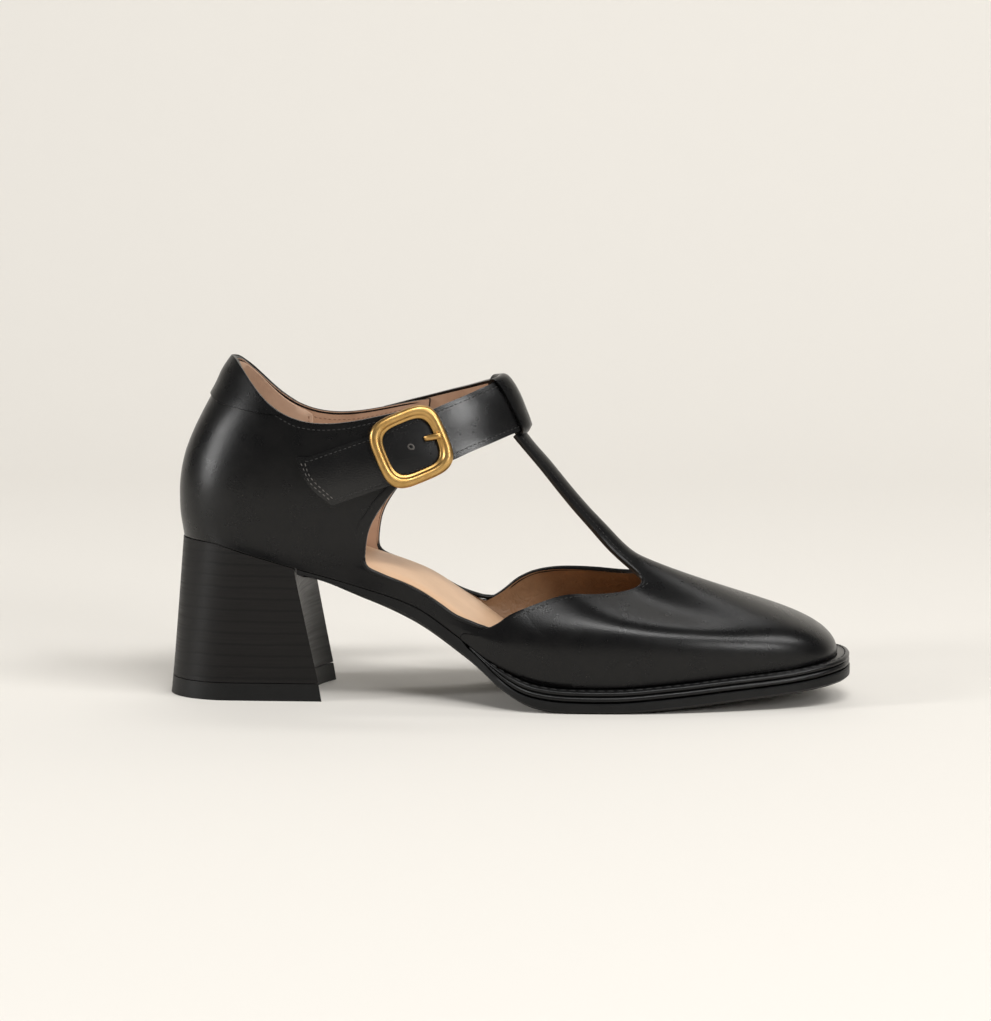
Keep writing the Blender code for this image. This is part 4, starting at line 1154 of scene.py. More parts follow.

# %% [markdown]
# Colours and gloss were chosen against the picture: the calf is nearly black with a low sheen, the strap a
# little glossier, and the vamp's lining is painted darker and browner than the heel's, as painted shade.

# %% The finishes of this shoe
DARK = (0.0014, 0.0014, 0.0016)
DULL = (0.0030, 0.0028, 0.0028)
CALF = calf_material("black calf", DARK, DULL, 0.26, 0.31, 0.000026, 0.0001, 0.31)
STRAP_CALF = calf_material("strap calf", DARK, DULL, 0.24, 0.28, 0.000026, 0.0001, 0.45)
LINING = lining_material("tan lining", (0.39, 0.235, 0.150), (0.48, 0.30, 0.20), 0.58)
# painted shade: a darker copy of the tan lining stands for the shade inside the vamp
SHADED_VAMP_LINING = lining_material("shaded vamp lining", (0.21, 0.115, 0.058), (0.30, 0.17, 0.088), 0.5, 0.00006, 0.0006)
SOCK = lining_material("nude insole", (0.64, 0.415, 0.255), (0.69, 0.46, 0.29), 0.5, 0.000015, 0.00002)
WELT = lining_material("welt edge", DARK, (0.006, 0.006, 0.006), 0.30, 0.00003, 0.00004, 0.3)
SOOT = (0.006, 0.006, 0.006)
RUBBER = lining_material("black rubber", (0.003, 0.003, 0.003), SOOT, 0.46, 0.00004, 0.00003, 0.25)
STACK = stacked_material()
BRASS = brass_material()
TAN_THREAD = lining_material("tan thread", (0.20, 0.115, 0.070), (0.30, 0.175, 0.11), 0.6)
THREAD = lining_material("black thread", (0.008, 0.008, 0.008), (0.020, 0.019, 0.018), 0.6)
GRIP = lining_material("heel grip", (0.44, 0.29, 0.20), (0.53, 0.36, 0.255), 0.75, 0.00005, 0.00004)
PALE_THREAD = lining_material("worn thread", (0.05, 0.047, 0.044), (0.12, 0.11, 0.10), 0.6)
print("materials", len(bpy.data.materials))

# %% [markdown]
# ## Upper and its lining
#
# The grid gets a 1.8 mm wall inwards and is subdivided. Its outside and edges are calf, its inside is
# lining, with painted shade in the vamp: a darker copy of the lining there stands for the shade inside the
# toe box. The T bar is run a little way up into its loop so that no gap shows.

# %% Wall the upper
grid_points, grid_cells, feet = upper_shell()
shell_points, shell_faces, shell_kinds = walled(grid_points, grid_cells, 0.0, UPPER_WALL, feet)
# inside faces ahead of this station get the darker lining, painted shade for the inside of the vamp
for i, face in enumerate(shell_faces):
    if shell_kinds[i] and shell_points[face][:, 0].mean() > SHADED_LINING_FROM * SHOE_LENGTH:
        shell_kinds[i] = 2
upper = piece(
    "upper_leather",
    shell_points,
    shell_faces,
    "black_calf",
    [CALF, LINING, SHADED_VAMP_LINING],
    ["upper"],
    shell_kinds,
    levels=FINE,
    crease=0.75,
)

# %% [markdown]
# On the real shoe a patch is sewn round the back of the collar to hide the seam of the two quarters. It is
# a grid on the same form, between its seam's line and the collar, lifted by its thickness.

# %% Back tab
PATCH_COLUMNS = 14


def back_patch(end, power, first, rows, height_of):
    """A grid round the back of the heel: height_of(station, share of the rows) gives its heights."""
    columns = []
    for step in range(PATCH_COLUMNS, -PATCH_COLUMNS - 1, -1):
        side = -1 if step < 0 else 1
        share = (abs(step) / PATCH_COLUMNS) ** power
        column = []
        for row in range(rows + 1):
            start = seat_height() + BACK_HEIGHT * first
            turn, height = settled(share, end, side, start, lambda station: height_of(station, row / rows))
            column.append(on_ring(turn, height, side))
        columns.append(column)
    return sheet_of(columns)


def tab_height(station, climb):
    low = level_at(TAB_SEAM_ROWS, station)
    return low + (level_at(COLLAR_ROWS, station) - low) * climb


tab_shape = walled(*back_patch(TAB_END, 1.1, 0.85, 6, tab_height), TAB_THICKNESS - FIT_GAP, 0.0001)
back_tab = piece(
    "back_tab_leather", *tab_shape[:2], "black_calf", [CALF], ["back_tab"], levels=1, crease=0.5
)

# %% [markdown]
# Two more layers are sewn on the outside: a binding along the quarters' front edges, and the vamp's own
# sheet, whose back edge laps the low waist wall. The lap's thickness fades to nothing further forward, so
# the sheet melts into the vamp without a second edge.

# %% Sizes of the overlays
BINDING_WIDTH = 0.0042
BINDING_LIFT = 0.00035
OVERLAY_SINK = 0.0003
LAP_SINK = 0.0004
LAP_END_SINK = 0.0002
LAP_STEP = 0.0006
LAP_SHARE = 0.30
LAP_COLUMNS = 12

# %% [markdown]
# Each layer is a grid on the same form as the upper. Its points are made for both sides with one function,
# with the columns turned round on the inner side so that its faces still point outwards.

# %% Grids of the overlays


def binding_grid(side):
    columns = []
    for level in np.linspace(-0.24, 0.725, 40):
        height = seat_height() + BACK_HEIGHT * level
        front = SHOE_LENGTH * float(steady(QUARTER_EDGE_ROWS, level, 1)) - 0.0001
        steps = np.linspace(0.0, BINDING_WIDTH, 4)
        row = [on_ring(ring_turn_at(front - back, height), height, side) for back in steps]
        columns.append(row if side < 0 else row[::-1])
    return sheet_of(columns)


def lap_grid(side):
    columns = []
    for step in range(LAP_COLUMNS + 1):
        share = LAP_SHARE * step / LAP_COLUMNS
        columns.append(vamp_column(share, side)[: LOWER_ROWS + 1])
    return sheet_of(columns if side < 0 else columns[::-1])


overlays = []
for side, label in ((-1, "outer"), (1, "inner")):
    binding = walled(*binding_grid(side), BINDING_LIFT, OVERLAY_SINK)
    lap_points, lap_cells = lap_grid(side)
    steps = np.arange(len(lap_points)) // (LOWER_ROWS + 1) / LAP_COLUMNS
    share = steps if side < 0 else 1 - steps
    lift = LAP_STEP * (1 - share**1.5)[:, None] - LAP_END_SINK * share[:, None]
    lap = walled(lap_points, lap_cells, lift, LAP_SINK)
    for name, sheet in (("binding_" + label, binding), ("vamp_lap_" + label, lap)):
        overlays.append(piece(name, *sheet[:2], "black_calf", [CALF], levels=1, crease=0.3))

# %% [markdown]
# Inside the heel a soft grip patch keeps the foot from slipping. It lies on the lining, from the back to a
# seam on each side.

# %% Heel grip
GRIP_END = 0.2
GRIP_DEPTH = 0.030
GRIP_THICKNESS = 0.0005
GRIP_TOP_GAP = 0.0014


def grip_height(station, climb):
    return level_at(COLLAR_ROWS, station) - GRIP_TOP_GAP - GRIP_DEPTH * (1 - climb)


grip_grid = back_patch(GRIP_END, 1.0, 0.7, 5, grip_height)
grip_shape = walled(*grip_grid, 0.0001 - UPPER_WALL, UPPER_WALL + GRIP_THICKNESS)
heel_grip = piece("heel_grip", *grip_shape[:2], "tan_lining", [GRIP], levels=1, crease=0.4)

# %% [markdown]
# The leather is folded over every top edge, so the rim is round. A thin tube runs along the collar, the
# cut-outs and the T bar, sunk into the sheet so that only its round top stands out. A bevel would do the
# same, but it can't follow an edge whose ends meet at such different angles.

# %% Find the rim
FOLD_RADIUS = 0.00098
FOLD_SINK = 0.8
# the inner quarter's top corner, under the strap's inner end, where the rim shows the lining
INNER_CORNER = (0.371, 0.42)
INNER_CORNER_LEVEL = seat_height() + 0.02


def rim_runs():
    """Points in the middle of the wall's top edge all round, and the directions from them into the sheet."""
    normal = vertex_normals(grid_points, grid_cells)
    following = {}
    for cell in grid_cells:
        for a, b in zip(cell, np.roll(cell, -1)):
            following[int(a), int(b)] = True
    after = {a: b for a, b in following if (b, a) not in following}
    base = set(feet)
    inward = np.zeros_like(grid_points)
    for cell in grid_cells:
        inward[cell] += grid_points[cell].mean(axis=0) - grid_points[cell]
    start = next(a for a in after if a not in base and grid_points[a, 0] < SHOE_LENGTH * 0.11)
    loop_line = [start]
    while after[loop_line[-1]] != start:
        loop_line.append(after[loop_line[-1]])
    return [grid_points[i] - normal[i] * UPPER_WALL / 2 for i in loop_line], inward[loop_line]

# %% [markdown]
# The rim is rolled by carrying a small ring along its line. Each ring's side direction is handed on from
# the last one, so the tube doesn't twist, and the last ring is matched with the first by the turn that fits
# best.

# %% Roll the edge


def folded_edge():
    """A thin round tube along the rim, as points and faces."""
    rim, inward = rim_runs()
    around = 8
    path = np.repeat(np.array(rim), 2, axis=0)
    inward = np.repeat(inward, 2, axis=0)
    path[1::2] = (path[1::2] + np.roll(path, -1, axis=0)[1::2]) / 2
    inward[1::2] = (inward[1::2] + np.roll(inward, -1, axis=0)[1::2]) / 2
    path = 0.5 * path + 0.25 * (np.roll(path, 1, axis=0) + np.roll(path, -1, axis=0))
    tangent = np.roll(path, -1, axis=0) - np.roll(path, 1, axis=0)
    tangent = tangent / np.linalg.norm(tangent, axis=1)[:, None]
    inward = inward - tangent * np.sum(inward * tangent, axis=1)[:, None]
    path = path + inward / np.linalg.norm(inward, axis=1)[:, None] * FOLD_RADIUS * FOLD_SINK
    rings = []
    side = None
    for point, direction in zip(path, tangent):
        start = np.array([0.0, 1.0, 0.0]) if side is None else side
        side = start - direction * float(start @ direction)
        side = unit(side)
        up = np.cross(direction, side)
        ring = []
        for turn in full_turn(around):
            ring.append(point + (side * math.cos(turn) + up * math.sin(turn)) * FOLD_RADIUS)
        rings.append(ring)
    points = [point for ring in rings for point in ring]
    faces = []
    count = len(rings)
    first = np.array(rings[0])
    last = np.array(rings[-1])
    twist = int(np.argmin([np.linalg.norm(np.roll(first, -k, axis=0) - last) for k in range(around)]))
    for i in range(count):
        k = (i + 1) % count
        turn = twist if k == 0 else 0
        for j in range(around):
            m = (j + 1) % around
            n = (j + turn) % around
            faces.append([i * around + j, i * around + m, k * around + (n + 1) % around, k * around + n])
    near, far = INNER_CORNER
    bare = [p[1] > 0 and near < p[0] / SHOE_LENGTH < far and p[2] > INNER_CORNER_LEVEL for p in path]
    return points, faces, [int(flag) for flag in bare for _ in range(around)]


roll_points, roll_faces, roll_kinds = folded_edge()
roll_slots = [CALF, LINING]
piece("folded_edge", roll_points, roll_faces, "black_calf", roll_slots, (), roll_kinds, levels=1, smooth=80)

# %% [markdown]
# ## Ankle strap and its loop
#
# The strap is a padded band of two layers, turned at its edges and stitched. It is swept along its line
# with a section that is flat underneath and slightly domed between the stitches. Its free end is cut at a
# slant and is a little wider than the rest.

# %% Ankle strap
STRAP_END = float(np.interp(STRAP_OUTER_TURN, STRAP_TURNS, STRAP_PLACES))
STRAP_START = float(np.interp(STRAP_INNER_TURN, STRAP_TURNS, STRAP_PLACES))
STRAP_SHARES = [-0.5, -0.455, -0.36, -0.22, 0.0, 0.22, 0.36, 0.455, 0.5]
STRAP_SECTIONS = 72
STRAP_PAD = 0.00045
TAIL_FLARE = 0.10


def tail_fade(place):
    """1 at the strap's slanted end, falling to 0 two widths along it."""
    return max(0.0, 1 - (place - STRAP_END) / (2 * STRAP_WIDTH))


def end_slant(place, share):
    """How far the strap's slanted end is from square at a place along it and a share across it."""
    return STRAP_END_SLANT * share * tail_fade(place)


def on_band_at(place, share, lift):
    """Point of the strap at a place along it and a share across it: its tail is a little wider."""
    across = STRAP_WIDTH * share * (1 + TAIL_FLARE * tail_fade(place))
    return on_strap(place - end_slant(place, share), across, lift)


def strap_sections():
    """Sections of the strap: flat underneath, a little padded between its two rows of stitches."""
    sections = []
    for place in np.linspace(STRAP_END, STRAP_START, STRAP_SECTIONS):
        section = []
        for share in STRAP_SHARES:
            section.append(on_band_at(place, share, FIT_GAP))
        for share in reversed(STRAP_SHARES):
            pad = STRAP_PAD * max(0.0, 1 - (share / 0.42) ** 2)
            section.append(on_band_at(place, share, FIT_GAP + STRAP_THICKNESS + pad))
        sections.append(section)
    return sections


def strap_kinds():
    """Material of each face of the swept strap: 1, lining, on the ankle's side except its turned edges."""
    rows = len(STRAP_SHARES) - 1
    ring = [1 if 0 < j < rows - 1 else 0 for j in range(2 * rows + 2)]
    return [0, 0] + ring * (STRAP_SECTIONS - 1)


strap_points, strap_faces = swept(strap_sections())
strap = piece(
    "strap_leather",
    strap_points,
    strap_faces,
    "black_calf",
    [STRAP_CALF, LINING],
    ["ankle_strap"],
    strap_kinds(),
    levels=1,
    crease=0.9,
)

# %% [markdown]
# The T bar's end is folded round the strap and sewn down under it. Its section is a hollow box with soft
# corners, carried along the strap's line, so that the strap really passes through.

# %% Strap loop


def loop_rings():
    inside = -UPPER_WALL
    rows = [STRAP_WIDTH * (row / 6 - 0.5) for row in range(7)]
    low = rows[0] - FIT_GAP
    high = rows[-1] + FIT_GAP
    bottom = low - LOOP_WALL
    top = high + LOOP_WALL
    face = 2 * FIT_GAP + STRAP_THICKNESS
    skin = face + LOOP_WALL
    outside = [(inside, bottom), (face * 0.25, bottom), (face * 0.75, bottom + LOOP_WALL * 0.4)]
    outside += [(skin - LOOP_WALL * 0.3, rows[0]), *[(skin, row) for row in rows[1:-1]]]
    outside += [(skin - LOOP_WALL * 0.15, rows[-1]), (face * 0.85, top - LOOP_WALL * 0.15)]
    outside += [(face * 0.2, top), (inside + LOOP_WALL * 0.4, top - LOOP_WALL * 0.4)]
    outside += [(inside, row) for row in reversed(rows[1:])]
    hole = [(0.0, low), (face * 0.35, low), (face * 0.7, low)]
    hole += [(face, low), *[(face, row) for row in rows[1:-1]]]
    hole += [(face, rows[-1]), (face, high)]
    hole += [(face * 0.4, high), (0.0, high)]
    hole += [(0.0, row) for row in reversed(rows[1:])]
    rings = [[on_strap(place, across, lift) for lift, across in outside + hole] for place in loop_places()]
    return rings, len(outside)


def loop_shape():
    rings, size = loop_rings()
    points = [point for ring in rings for point in ring]
    faces = []
    for j in range(size):
        k = (j + 1) % size
        for i in range(LOOP_STEPS):
            a = i * 2 * size
            b = a + 2 * size
            faces.append([a + j, a + k, b + k, b + j])
            faces.append([a + size + k, a + size + j, b + size + j, b + size + k])
        for a in (0, LOOP_STEPS * 2 * size):
            faces.append([a + j, a + k, a + size + k, a + size + j])
    return points, faces


piece("loop_leather", *loop_shape(), "black_calf", [CALF], ["strap_loop"], levels=2, crease=0.55)

# %% [markdown]
# ## Buckle
#
# The frame is cast metal: a cushion-shaped ring with a domed bar and a lower inner lip. Its flat base rests
# on the strap, so it has its own axes. The section is lofted round the cushion outline, because a bevelled
# curve would not keep the lip level.

# %% Buckle frame


def buckle_axes():
    """Middle of the flat buckle's underside, then its directions along the strap, across it and outwards."""
    base = BUCKLE_LIFT + STRAP_THICKNESS
    reach = BUCKLE_HEIGHT / 6
    along = unit(on_strap(reach - BUCKLE_PLACE, 0.0, base) - on_strap(-reach - BUCKLE_PLACE, 0.0, base))
    across = on_strap(-BUCKLE_PLACE, reach, base) - on_strap(-BUCKLE_PLACE, -reach, base)
    outward = unit(np.cross(along, across))
    return on_strap(-BUCKLE_PLACE, 0.0, base), along, np.cross(outward, along), outward


BUCKLE_AXES = buckle_axes()


def on_buckle(along, across, lift):
    middle, forward, upward, outward = BUCKLE_AXES
    return middle + forward * along + upward * across + outward * lift


def buckle_shape(steps=96):
    # inset from the outer edge as a share of the bar, lift as a share of the thickness
    section = [(0.0, 0.0), (0.0, 0.42), (0.05, 0.66), (0.16, 0.88), (0.34, 0.99), (0.52, 0.98), (0.66, 0.90)]
    section += [(0.74, 0.70), (0.80, 0.60), (0.95, 0.54), (1.0, 0.44), (1.0, 0.0)]
    sections = []
    for turn in full_turn(steps):
        ring = []
        for inset, lift in section:
            inward = 2 * inset * BUCKLE_BAR
            along, across = cushion_outline(turn, BUCKLE_LENGTH - inward, BUCKLE_HEIGHT - inward)
            ring.append(on_buckle(along, across, lift * BUCKLE_THICKNESS))
        ring.append(ring[0])
        sections.append(ring)
    return lofted(sections)


piece("buckle_metal", *buckle_shape(), "antique_brass", [BRASS], ["buckle_frame"], levels=1, smooth=60)

# %% [markdown]
# The prong is a flat tongue that laps the front bar and ends in a short stub above the strap.

# %% Prong
PRONG_TURN = 0.2


def prong_shape():
    root = BUCKLE_LENGTH / 2
    # distance back from the frame's front edge in metres, underside and top (of BUCKLE_THICKNESS)
    stations = [
        (0.0018, 0.60, 0.90),
        (0.0024, 0.70, 1.16),
        (0.0034, 0.60, 1.26),
        (0.0048, 0.30, 1.16),
        (0.0064, 0.06, 0.92),
        (0.0078, 0.00, 0.62),
        (0.0084, 0.00, 0.34),
    ]
    sections = []
    for back, low, high in stations:
        half = PRONG_WIDTH / 2 * (1.0 if back < 0.0075 else 0.8)
        turned = PRONG_TURN * (back - BUCKLE_BAR)
        section = []
        for turn in full_turn(12):
            across = half * math.copysign(abs(math.cos(turn)) ** 0.6, math.cos(turn))
            rounded = math.copysign(abs(math.sin(turn)) ** 0.7, math.sin(turn))
            middle = (low + high) / 2 + (high - low) / 2 * rounded
            section.append(on_buckle(root - back, across + turned, middle * BUCKLE_THICKNESS))
        sections.append(section)
    return swept(sections)


piece("prong_metal", *prong_shape(), "antique_brass", [BRASS], ["buckle_prong"], levels=1, smooth=60)

# %% [markdown]
# ## Insole, welt, outsole and heel
#
# The bottom is a stack of plates with the same outline. Each plate is a loft from its middle line over its
# rim and back, so its faces run straight outwards. The rim's points give the welt its two beads and the
# sole its chamfer.

# %% Plates of the bottom


def plate(sides, edge, bottom, top, spine_inset, levels=(0.0, 0.35, 0.7)):
    """A closed plate inside two side lines: edge(x, y, out) gives its rim's points from bottom to top."""
    outer, inner = sides
    middles = [(a + b) / 2 for a, b in zip(outer, inner)]
    loop = outer + inner[::-1][1:]
    spines = middles + middles[::-1][1:]
    if np.linalg.norm(outer[0] - inner[0]) < 1e-6:
        loop = loop[:-1]
    low_x = min(p[0] for p in middles) + spine_inset
    high_x = max(p[0] for p in middles) - spine_inset
    middle_x = [p[0] for p in middles]
    middle_y = [p[1] for p in middles]
    columns = []
    for i, point in enumerate(loop):
        before = loop[i - 1]
        after = loop[(i + 1) % len(loop)]
        tangent = np.array(after) - np.array(before)
        out = unit(np.array([tangent[1], -tangent[0]]))
        spine_x = float(np.clip(spines[i][0], low_x, high_x))
        spine = np.array([spine_x, np.interp(spine_x, middle_x, middle_y)])
        column = []
        for level in levels:
            place = spine + (point - spine) * level
            column.append([place[0], place[1], bottom(place[0], place[1])])
        column += edge(point, out)
        for level in reversed(levels):
            place = spine + (point - spine) * level
            column.append([place[0], place[1], top(place[0], place[1])])
        columns.append(column)
    return lofted(columns)

# %% [markdown]
# The outsole is thick at the tread and thin in the waist. Its rim has a chamfer below and a small shoulder
# under the welt.

# %% Outsole


def outsole_shape():
    def top(x, _y=0.0):
        station = x / SHOE_LENGTH
        below = lower_edge(station) - FIT_GAP
        if station > WELT_START - WELT_LEAD:
            below -= 2 * FIT_GAP + WELT_THICKNESS * welt_blend(station)
        return float(below)

    def bottom(x, _y=0.0):
        return float(sole_underside(x / SHOE_LENGTH))

    def edge(point, out):
        x, y = point
        low = bottom(x)
        high = top(x)
        thick = high - low
        share = welt_share(x / SHOE_LENGTH)
        chamfer = SOLE_CHAMFER * share + WAIST_CHAMFER * (1 - share)
        inner_point = point - out * chamfer
        rim = [[inner_point[0], inner_point[1], low]]
        rim.append([x, y, low + min(chamfer * 0.8, thick * 0.4)])
        rim.append([x, y, high - thick * 0.12])
        shoulder = point - out * BEAD_DEPTH * 0.5 * share
        rim.append([shoulder[0], shoulder[1], high])
        return rim

    sides = bottom_loop(sole_margin, HEEL_TOP_FRONT + BREAST_CLEARANCE, 90)
    return plate(sides, edge, bottom, top, SPINE_INSET)

# %% [markdown]
# The welt's rim is turned with two beads, the storm welt of a sturdy shoe. The beads are rows of points
# round the rim, so they run on smoothly round the toe.

# %% Welt


def welt_shape():
    def top(x, _y=0.0):
        return float(lower_edge(x / SHOE_LENGTH)) - 1.5 * FIT_GAP

    def bottom(x, _y=0.0):
        return top(x) - WELT_THICKNESS * welt_blend(x / SHOE_LENGTH)

    def edge(point, out):
        low = bottom(point[0])
        high = top(point[0])
        thick = high - low
        share = welt_share(point[0] / SHOE_LENGTH)
        rim = []
        for inset, height in BEAD_ROWS:
            place = point - out * BEAD_DEPTH * (inset + 0.15) * (0.3 + 0.7 * share)
            rim.append([place[0], place[1], low + thick * height])
        return rim

    sides = bottom_loop(sole_margin, WELT_START, 90)
    return plate(sides, edge, bottom, top, SPINE_INSET)

# %% [markdown]
# The insole is padded: thick under the heel, thinner under the forefoot, and slightly crowned.

# %% Insole


def insole_shape():
    first = OUTLINE_ROWS[0][0]

    def inset(station):
        toe = float(np.clip((station - TOE_EASE_START) / TOE_EASE_OVER, 0, 1))
        return -(UPPER_WALL + 3 * FIT_GAP + INSOLE_TOE_EASE * toe)

    def thickness(station):
        thinned = ease((station - INSOLE_THINS_AT) / INSOLE_THINS_OVER)
        return INSOLE_THICKNESS + (INSOLE_FORE_THICKNESS - INSOLE_THICKNESS) * thinned

    def bottom(x, _y=0.0):
        return float(lower_edge(x / SHOE_LENGTH)) + 2 * FIT_GAP

    def half_width(x):
        share = outline_share(-1, x / SHOE_LENGTH)
        return abs(outline_at(-1, share)[1])

    def top(x, y=0.0):
        half = max(half_width(x), 0.004)
        crown = INSOLE_CROWN * max(0.0, 1 - (y / half) ** 2)
        return bottom(x) + thickness(x / SHOE_LENGTH) + crown

    def edge(point, out):
        x, y = point
        high = bottom(x) + thickness(x / SHOE_LENGTH)
        shoulder = point - out * 0.0012
        return [[x, y, bottom(x)], [x, y, high - 0.0009], [shoulder[0], shoulder[1], high]]

    sides = bottom_loop(inset, first, 110)
    return plate(sides, edge, bottom, top, SPINE_INSET)

# %% [markdown]
# The block heel flares from its seat down to the top lift, and its front, the breast, is hollow. Level
# loops from the floor to the seat are joined into a solid.

# %% Level loops of the heel


def heel_loop(share):
    """Two side lines of the heel, with the breast, at a share of its height, 0 at the floor."""
    top_back = OUTLINE_ROWS[0][0] * SHOE_LENGTH
    top_front = HEEL_TOP_FRONT * SHOE_LENGTH
    lean = share ** 0.9
    back = top_back * lean
    front = HEEL_BASE_LENGTH + (top_front - HEEL_BASE_LENGTH) * share
    lines = []
    for side in SIDES:
        line = []
        for step in range(25):
            turn = math.pi / 2 * step / 24
            x = back + HEEL_BACK_RADIUS * (1 - math.cos(turn))
            low = HEEL_BASE_WIDTH / 2 * math.sin(turn) ** 0.92
            high = abs(outline_at(side, outline_share(side, (x + top_back * (1 - lean)) / SHOE_LENGTH))[1])
            line.append(np.array([x, side * (low + (high - low) * share**1.3)]))
        for step in range(1, 9):
            x = back + HEEL_BACK_RADIUS + (front - back - HEEL_BACK_RADIUS) * step / 8
            low = HEEL_BASE_WIDTH / 2
            high = abs(outline_at(side, outline_share(side, x / SHOE_LENGTH))[1])
            line.append(np.array([x, side * (low + (high - low) * share**1.3)]))
        half = abs(line[-1][1])
        for step in range(1, 11):
            y = half * (1 - step / 10)
            x = front - BREAST_HOLLOW * (1 - share**2) * (1 - (y / half) ** 2)
            line.append(np.array([x, side * y]))
        lines.append(line)
    return lines

# %% [markdown]
# Both the stack and the rubber piece under it are slices of the same heel, with caps that are level, or
# follow the seat.

# %% Slices of the heel


def heel_slice(low, high, shares):
    """A slice of the heel between two heights: low and high are functions of x."""
    spine = HEEL_SPINE_INSET
    loops = []
    for share in shares:
        outer, inner = heel_loop(share)
        loops.append(outer + inner[::-1][1:-1])
    count = len(loops[0])
    columns = []
    for i in range(count):
        column = []
        for edge_loop, height in ((loops[0], low), (loops[-1], high)):
            place = edge_loop[i]
            xs = [p[0] for p in edge_loop]
            middle = np.array([np.clip(place[0], min(xs) + spine, max(xs) - spine * 1.4), 0.0])
            inner_places = [middle + (place - middle) * level for level in (0.0, 0.3, 0.55, 0.8)]
            cap = [[p[0], p[1], height(p[0])] for p in inner_places]
            column.append(cap)
        rim = []
        for k, edge_loop in enumerate(loops):
            x, y = edge_loop[i]
            climb = (shares[k] - shares[0]) / (shares[-1] - shares[0])
            floor = low(x)
            rim.append([x, y, floor + (high(x) - floor) * climb])
        columns.append(column[0] + rim + column[1][::-1])
    return lofted(columns)


def heel_block_shape():
    def seat(x):
        return float(lower_edge(x / SHOE_LENGTH)) - FIT_GAP

    split = TOPLIFT_THICKNESS / seat_height()
    gap_share = FIT_GAP / seat_height()
    shares = [split + gap_share, *np.linspace(0.18, 1.0, 14)]
    return heel_slice(lambda x: TOPLIFT_THICKNESS + FIT_GAP, seat, shares)


def toplift_shape():
    split = TOPLIFT_THICKNESS / seat_height()
    return heel_slice(lambda x: 0.0, lambda x: TOPLIFT_THICKNESS, [0.0, split])

# %% [markdown]
# The five pieces of the bottom, each in place of its solid.

# %% Make the bottom
bottom_pieces = [
    piece("insole_sock", *insole_shape(), "tan_lining", [SOCK], ["insole"], smooth=50),
    piece("welt_beads", *welt_shape(), "black_welt", [WELT], ["welt"], smooth=50),
    piece("outsole_rubber", *outsole_shape(), "black_rubber", [RUBBER], ["outsole"], smooth=35),
    piece("heel_stack", *heel_block_shape(), "stacked_heel", [STACK], ["heel_block"], smooth=30),
    piece("heel_toplift", *toplift_shape(), "black_rubber", [RUBBER], ["toplift"], smooth=30),
]

# %% [markdown]
# ## Stitching
#
# A seam is a path on the form, snapped to the finished surface. Each stitch is a small rounded thread with
# its ends sunk in the leather. They are real meshes, because a painted line would vanish at this scale, and
# all stitches of a kind are one object.

# %% Threads along a path


def even_places(path, spacing):
    path = np.array(path, float)
    lengths = lengths_along(path)
    count = max(int(lengths[-1] / spacing), 1)
    return spaced(path, lengths, np.linspace(0, lengths[-1], count + 1))


def stitches(name, paths, surface, material, pitch=0.0018, fill=0.62, width=0.00036, lift=0.00006):
    """One object with every stitch of these paths: pitch is a stitch and its gap, fill the stitch's share."""
    points = []
    faces = []
    rings = [(-0.5, 0.25), (-0.38, 0.8), (0.0, 1.0), (0.38, 0.8), (0.5, 0.25)]
    around = 6
    for path in paths:
        marks = even_places(placed(path), pitch)
        for a, b in zip(marks, marks[1:]):
            middle, normal, _, _ = surface.find_nearest(Vector((a + b) / 2))
            along = Vector(b - a)
            along = (along - normal * along.dot(normal)).normalized()
            across = normal.cross(along)
            first = len(points)
            for reach, size in rings:
                for turn in full_turn(around):
                    offset = across * math.cos(turn) + normal * math.sin(turn) * 0.7
                    sink = normal * (lift - abs(reach) ** 2 * 0.0003)
                    points.append(middle + along * reach * pitch * fill + offset * size * width / 2 + sink)
            for i in range(len(rings) - 1):
                for j in range(around):
                    k = (j + 1) % around
                    low = first + i * around
                    faces.append([low + j, low + k, low + around + k, low + around + j])
            faces.append([first + j for j in range(around)][::-1])
            faces.append([first + (len(rings) - 1) * around + j for j in range(around)])
    mesh = bpy.data.meshes.new(name)
    mesh.from_pydata([tuple(p) for p in points], [], faces)
    mesh.materials.append(material)
    mesh.shade_smooth()
    obj = add_object(name, mesh)
    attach(obj, "root")
    print(name, len(faces) // (around * (len(rings) - 1) + 2), "stitches")
    return obj

# %% [markdown]
# The seams follow the pieces' edges at a sewing distance: below the collar, above the tab's seam, behind
# the quarter's front edge, below the vamp's topline, beside the T bar, and along the strap.

# %% Paths of the seams


def collar_path(side, drop, lift=0.0):
    """A path below the collar's edge, from the back to the quarter's front, lifted off the form."""
    first = level_at(COLLAR_ROWS, 0.2) - drop
    end = QUARTER_EDGE_ROWS[-1][1]
    path = []
    for share in np.linspace(0.0, 0.985, 60):
        turn, height = settled(share, end, side, first, lambda at: level_at(COLLAR_ROWS, at) - drop)
        path.append(lift_off(turn, height, side, lift))
    return path


def tab_seam_path(side, rise):
    first = level_at(TAB_SEAM_ROWS, 0.1)
    path = []
    for share in np.linspace(0, 0.98, 24):
        turn, height = settled(share, TAB_END, side, first, lambda at: level_at(TAB_SEAM_ROWS, at) + rise)
        path.append(on_ring(turn, height, side))
    return path


def quarter_front_path(side, back, low=-0.2, high=0.70):
    path = []
    for level in np.linspace(low, high, 40):
        height = seat_height() + BACK_HEIGHT * level
        turn = ring_turn_at(SHOE_LENGTH * float(steady(QUARTER_EDGE_ROWS, level, 1)) - back, height)
        path.append(on_ring(turn, height, side))
    return path

# %% [markdown]
# On the strap and the vamp the distance is measured on the leather itself: across the strap, or down a
# column of the vamp from its top edge.

# %% Paths on the strap and the vamp


def strap_edge_path(across, start, end, count=70, lift=FIT_GAP + STRAP_THICKNESS):
    places = np.linspace(start, end, count)
    return [on_band_at(place, across / STRAP_WIDTH, lift) for place in places]


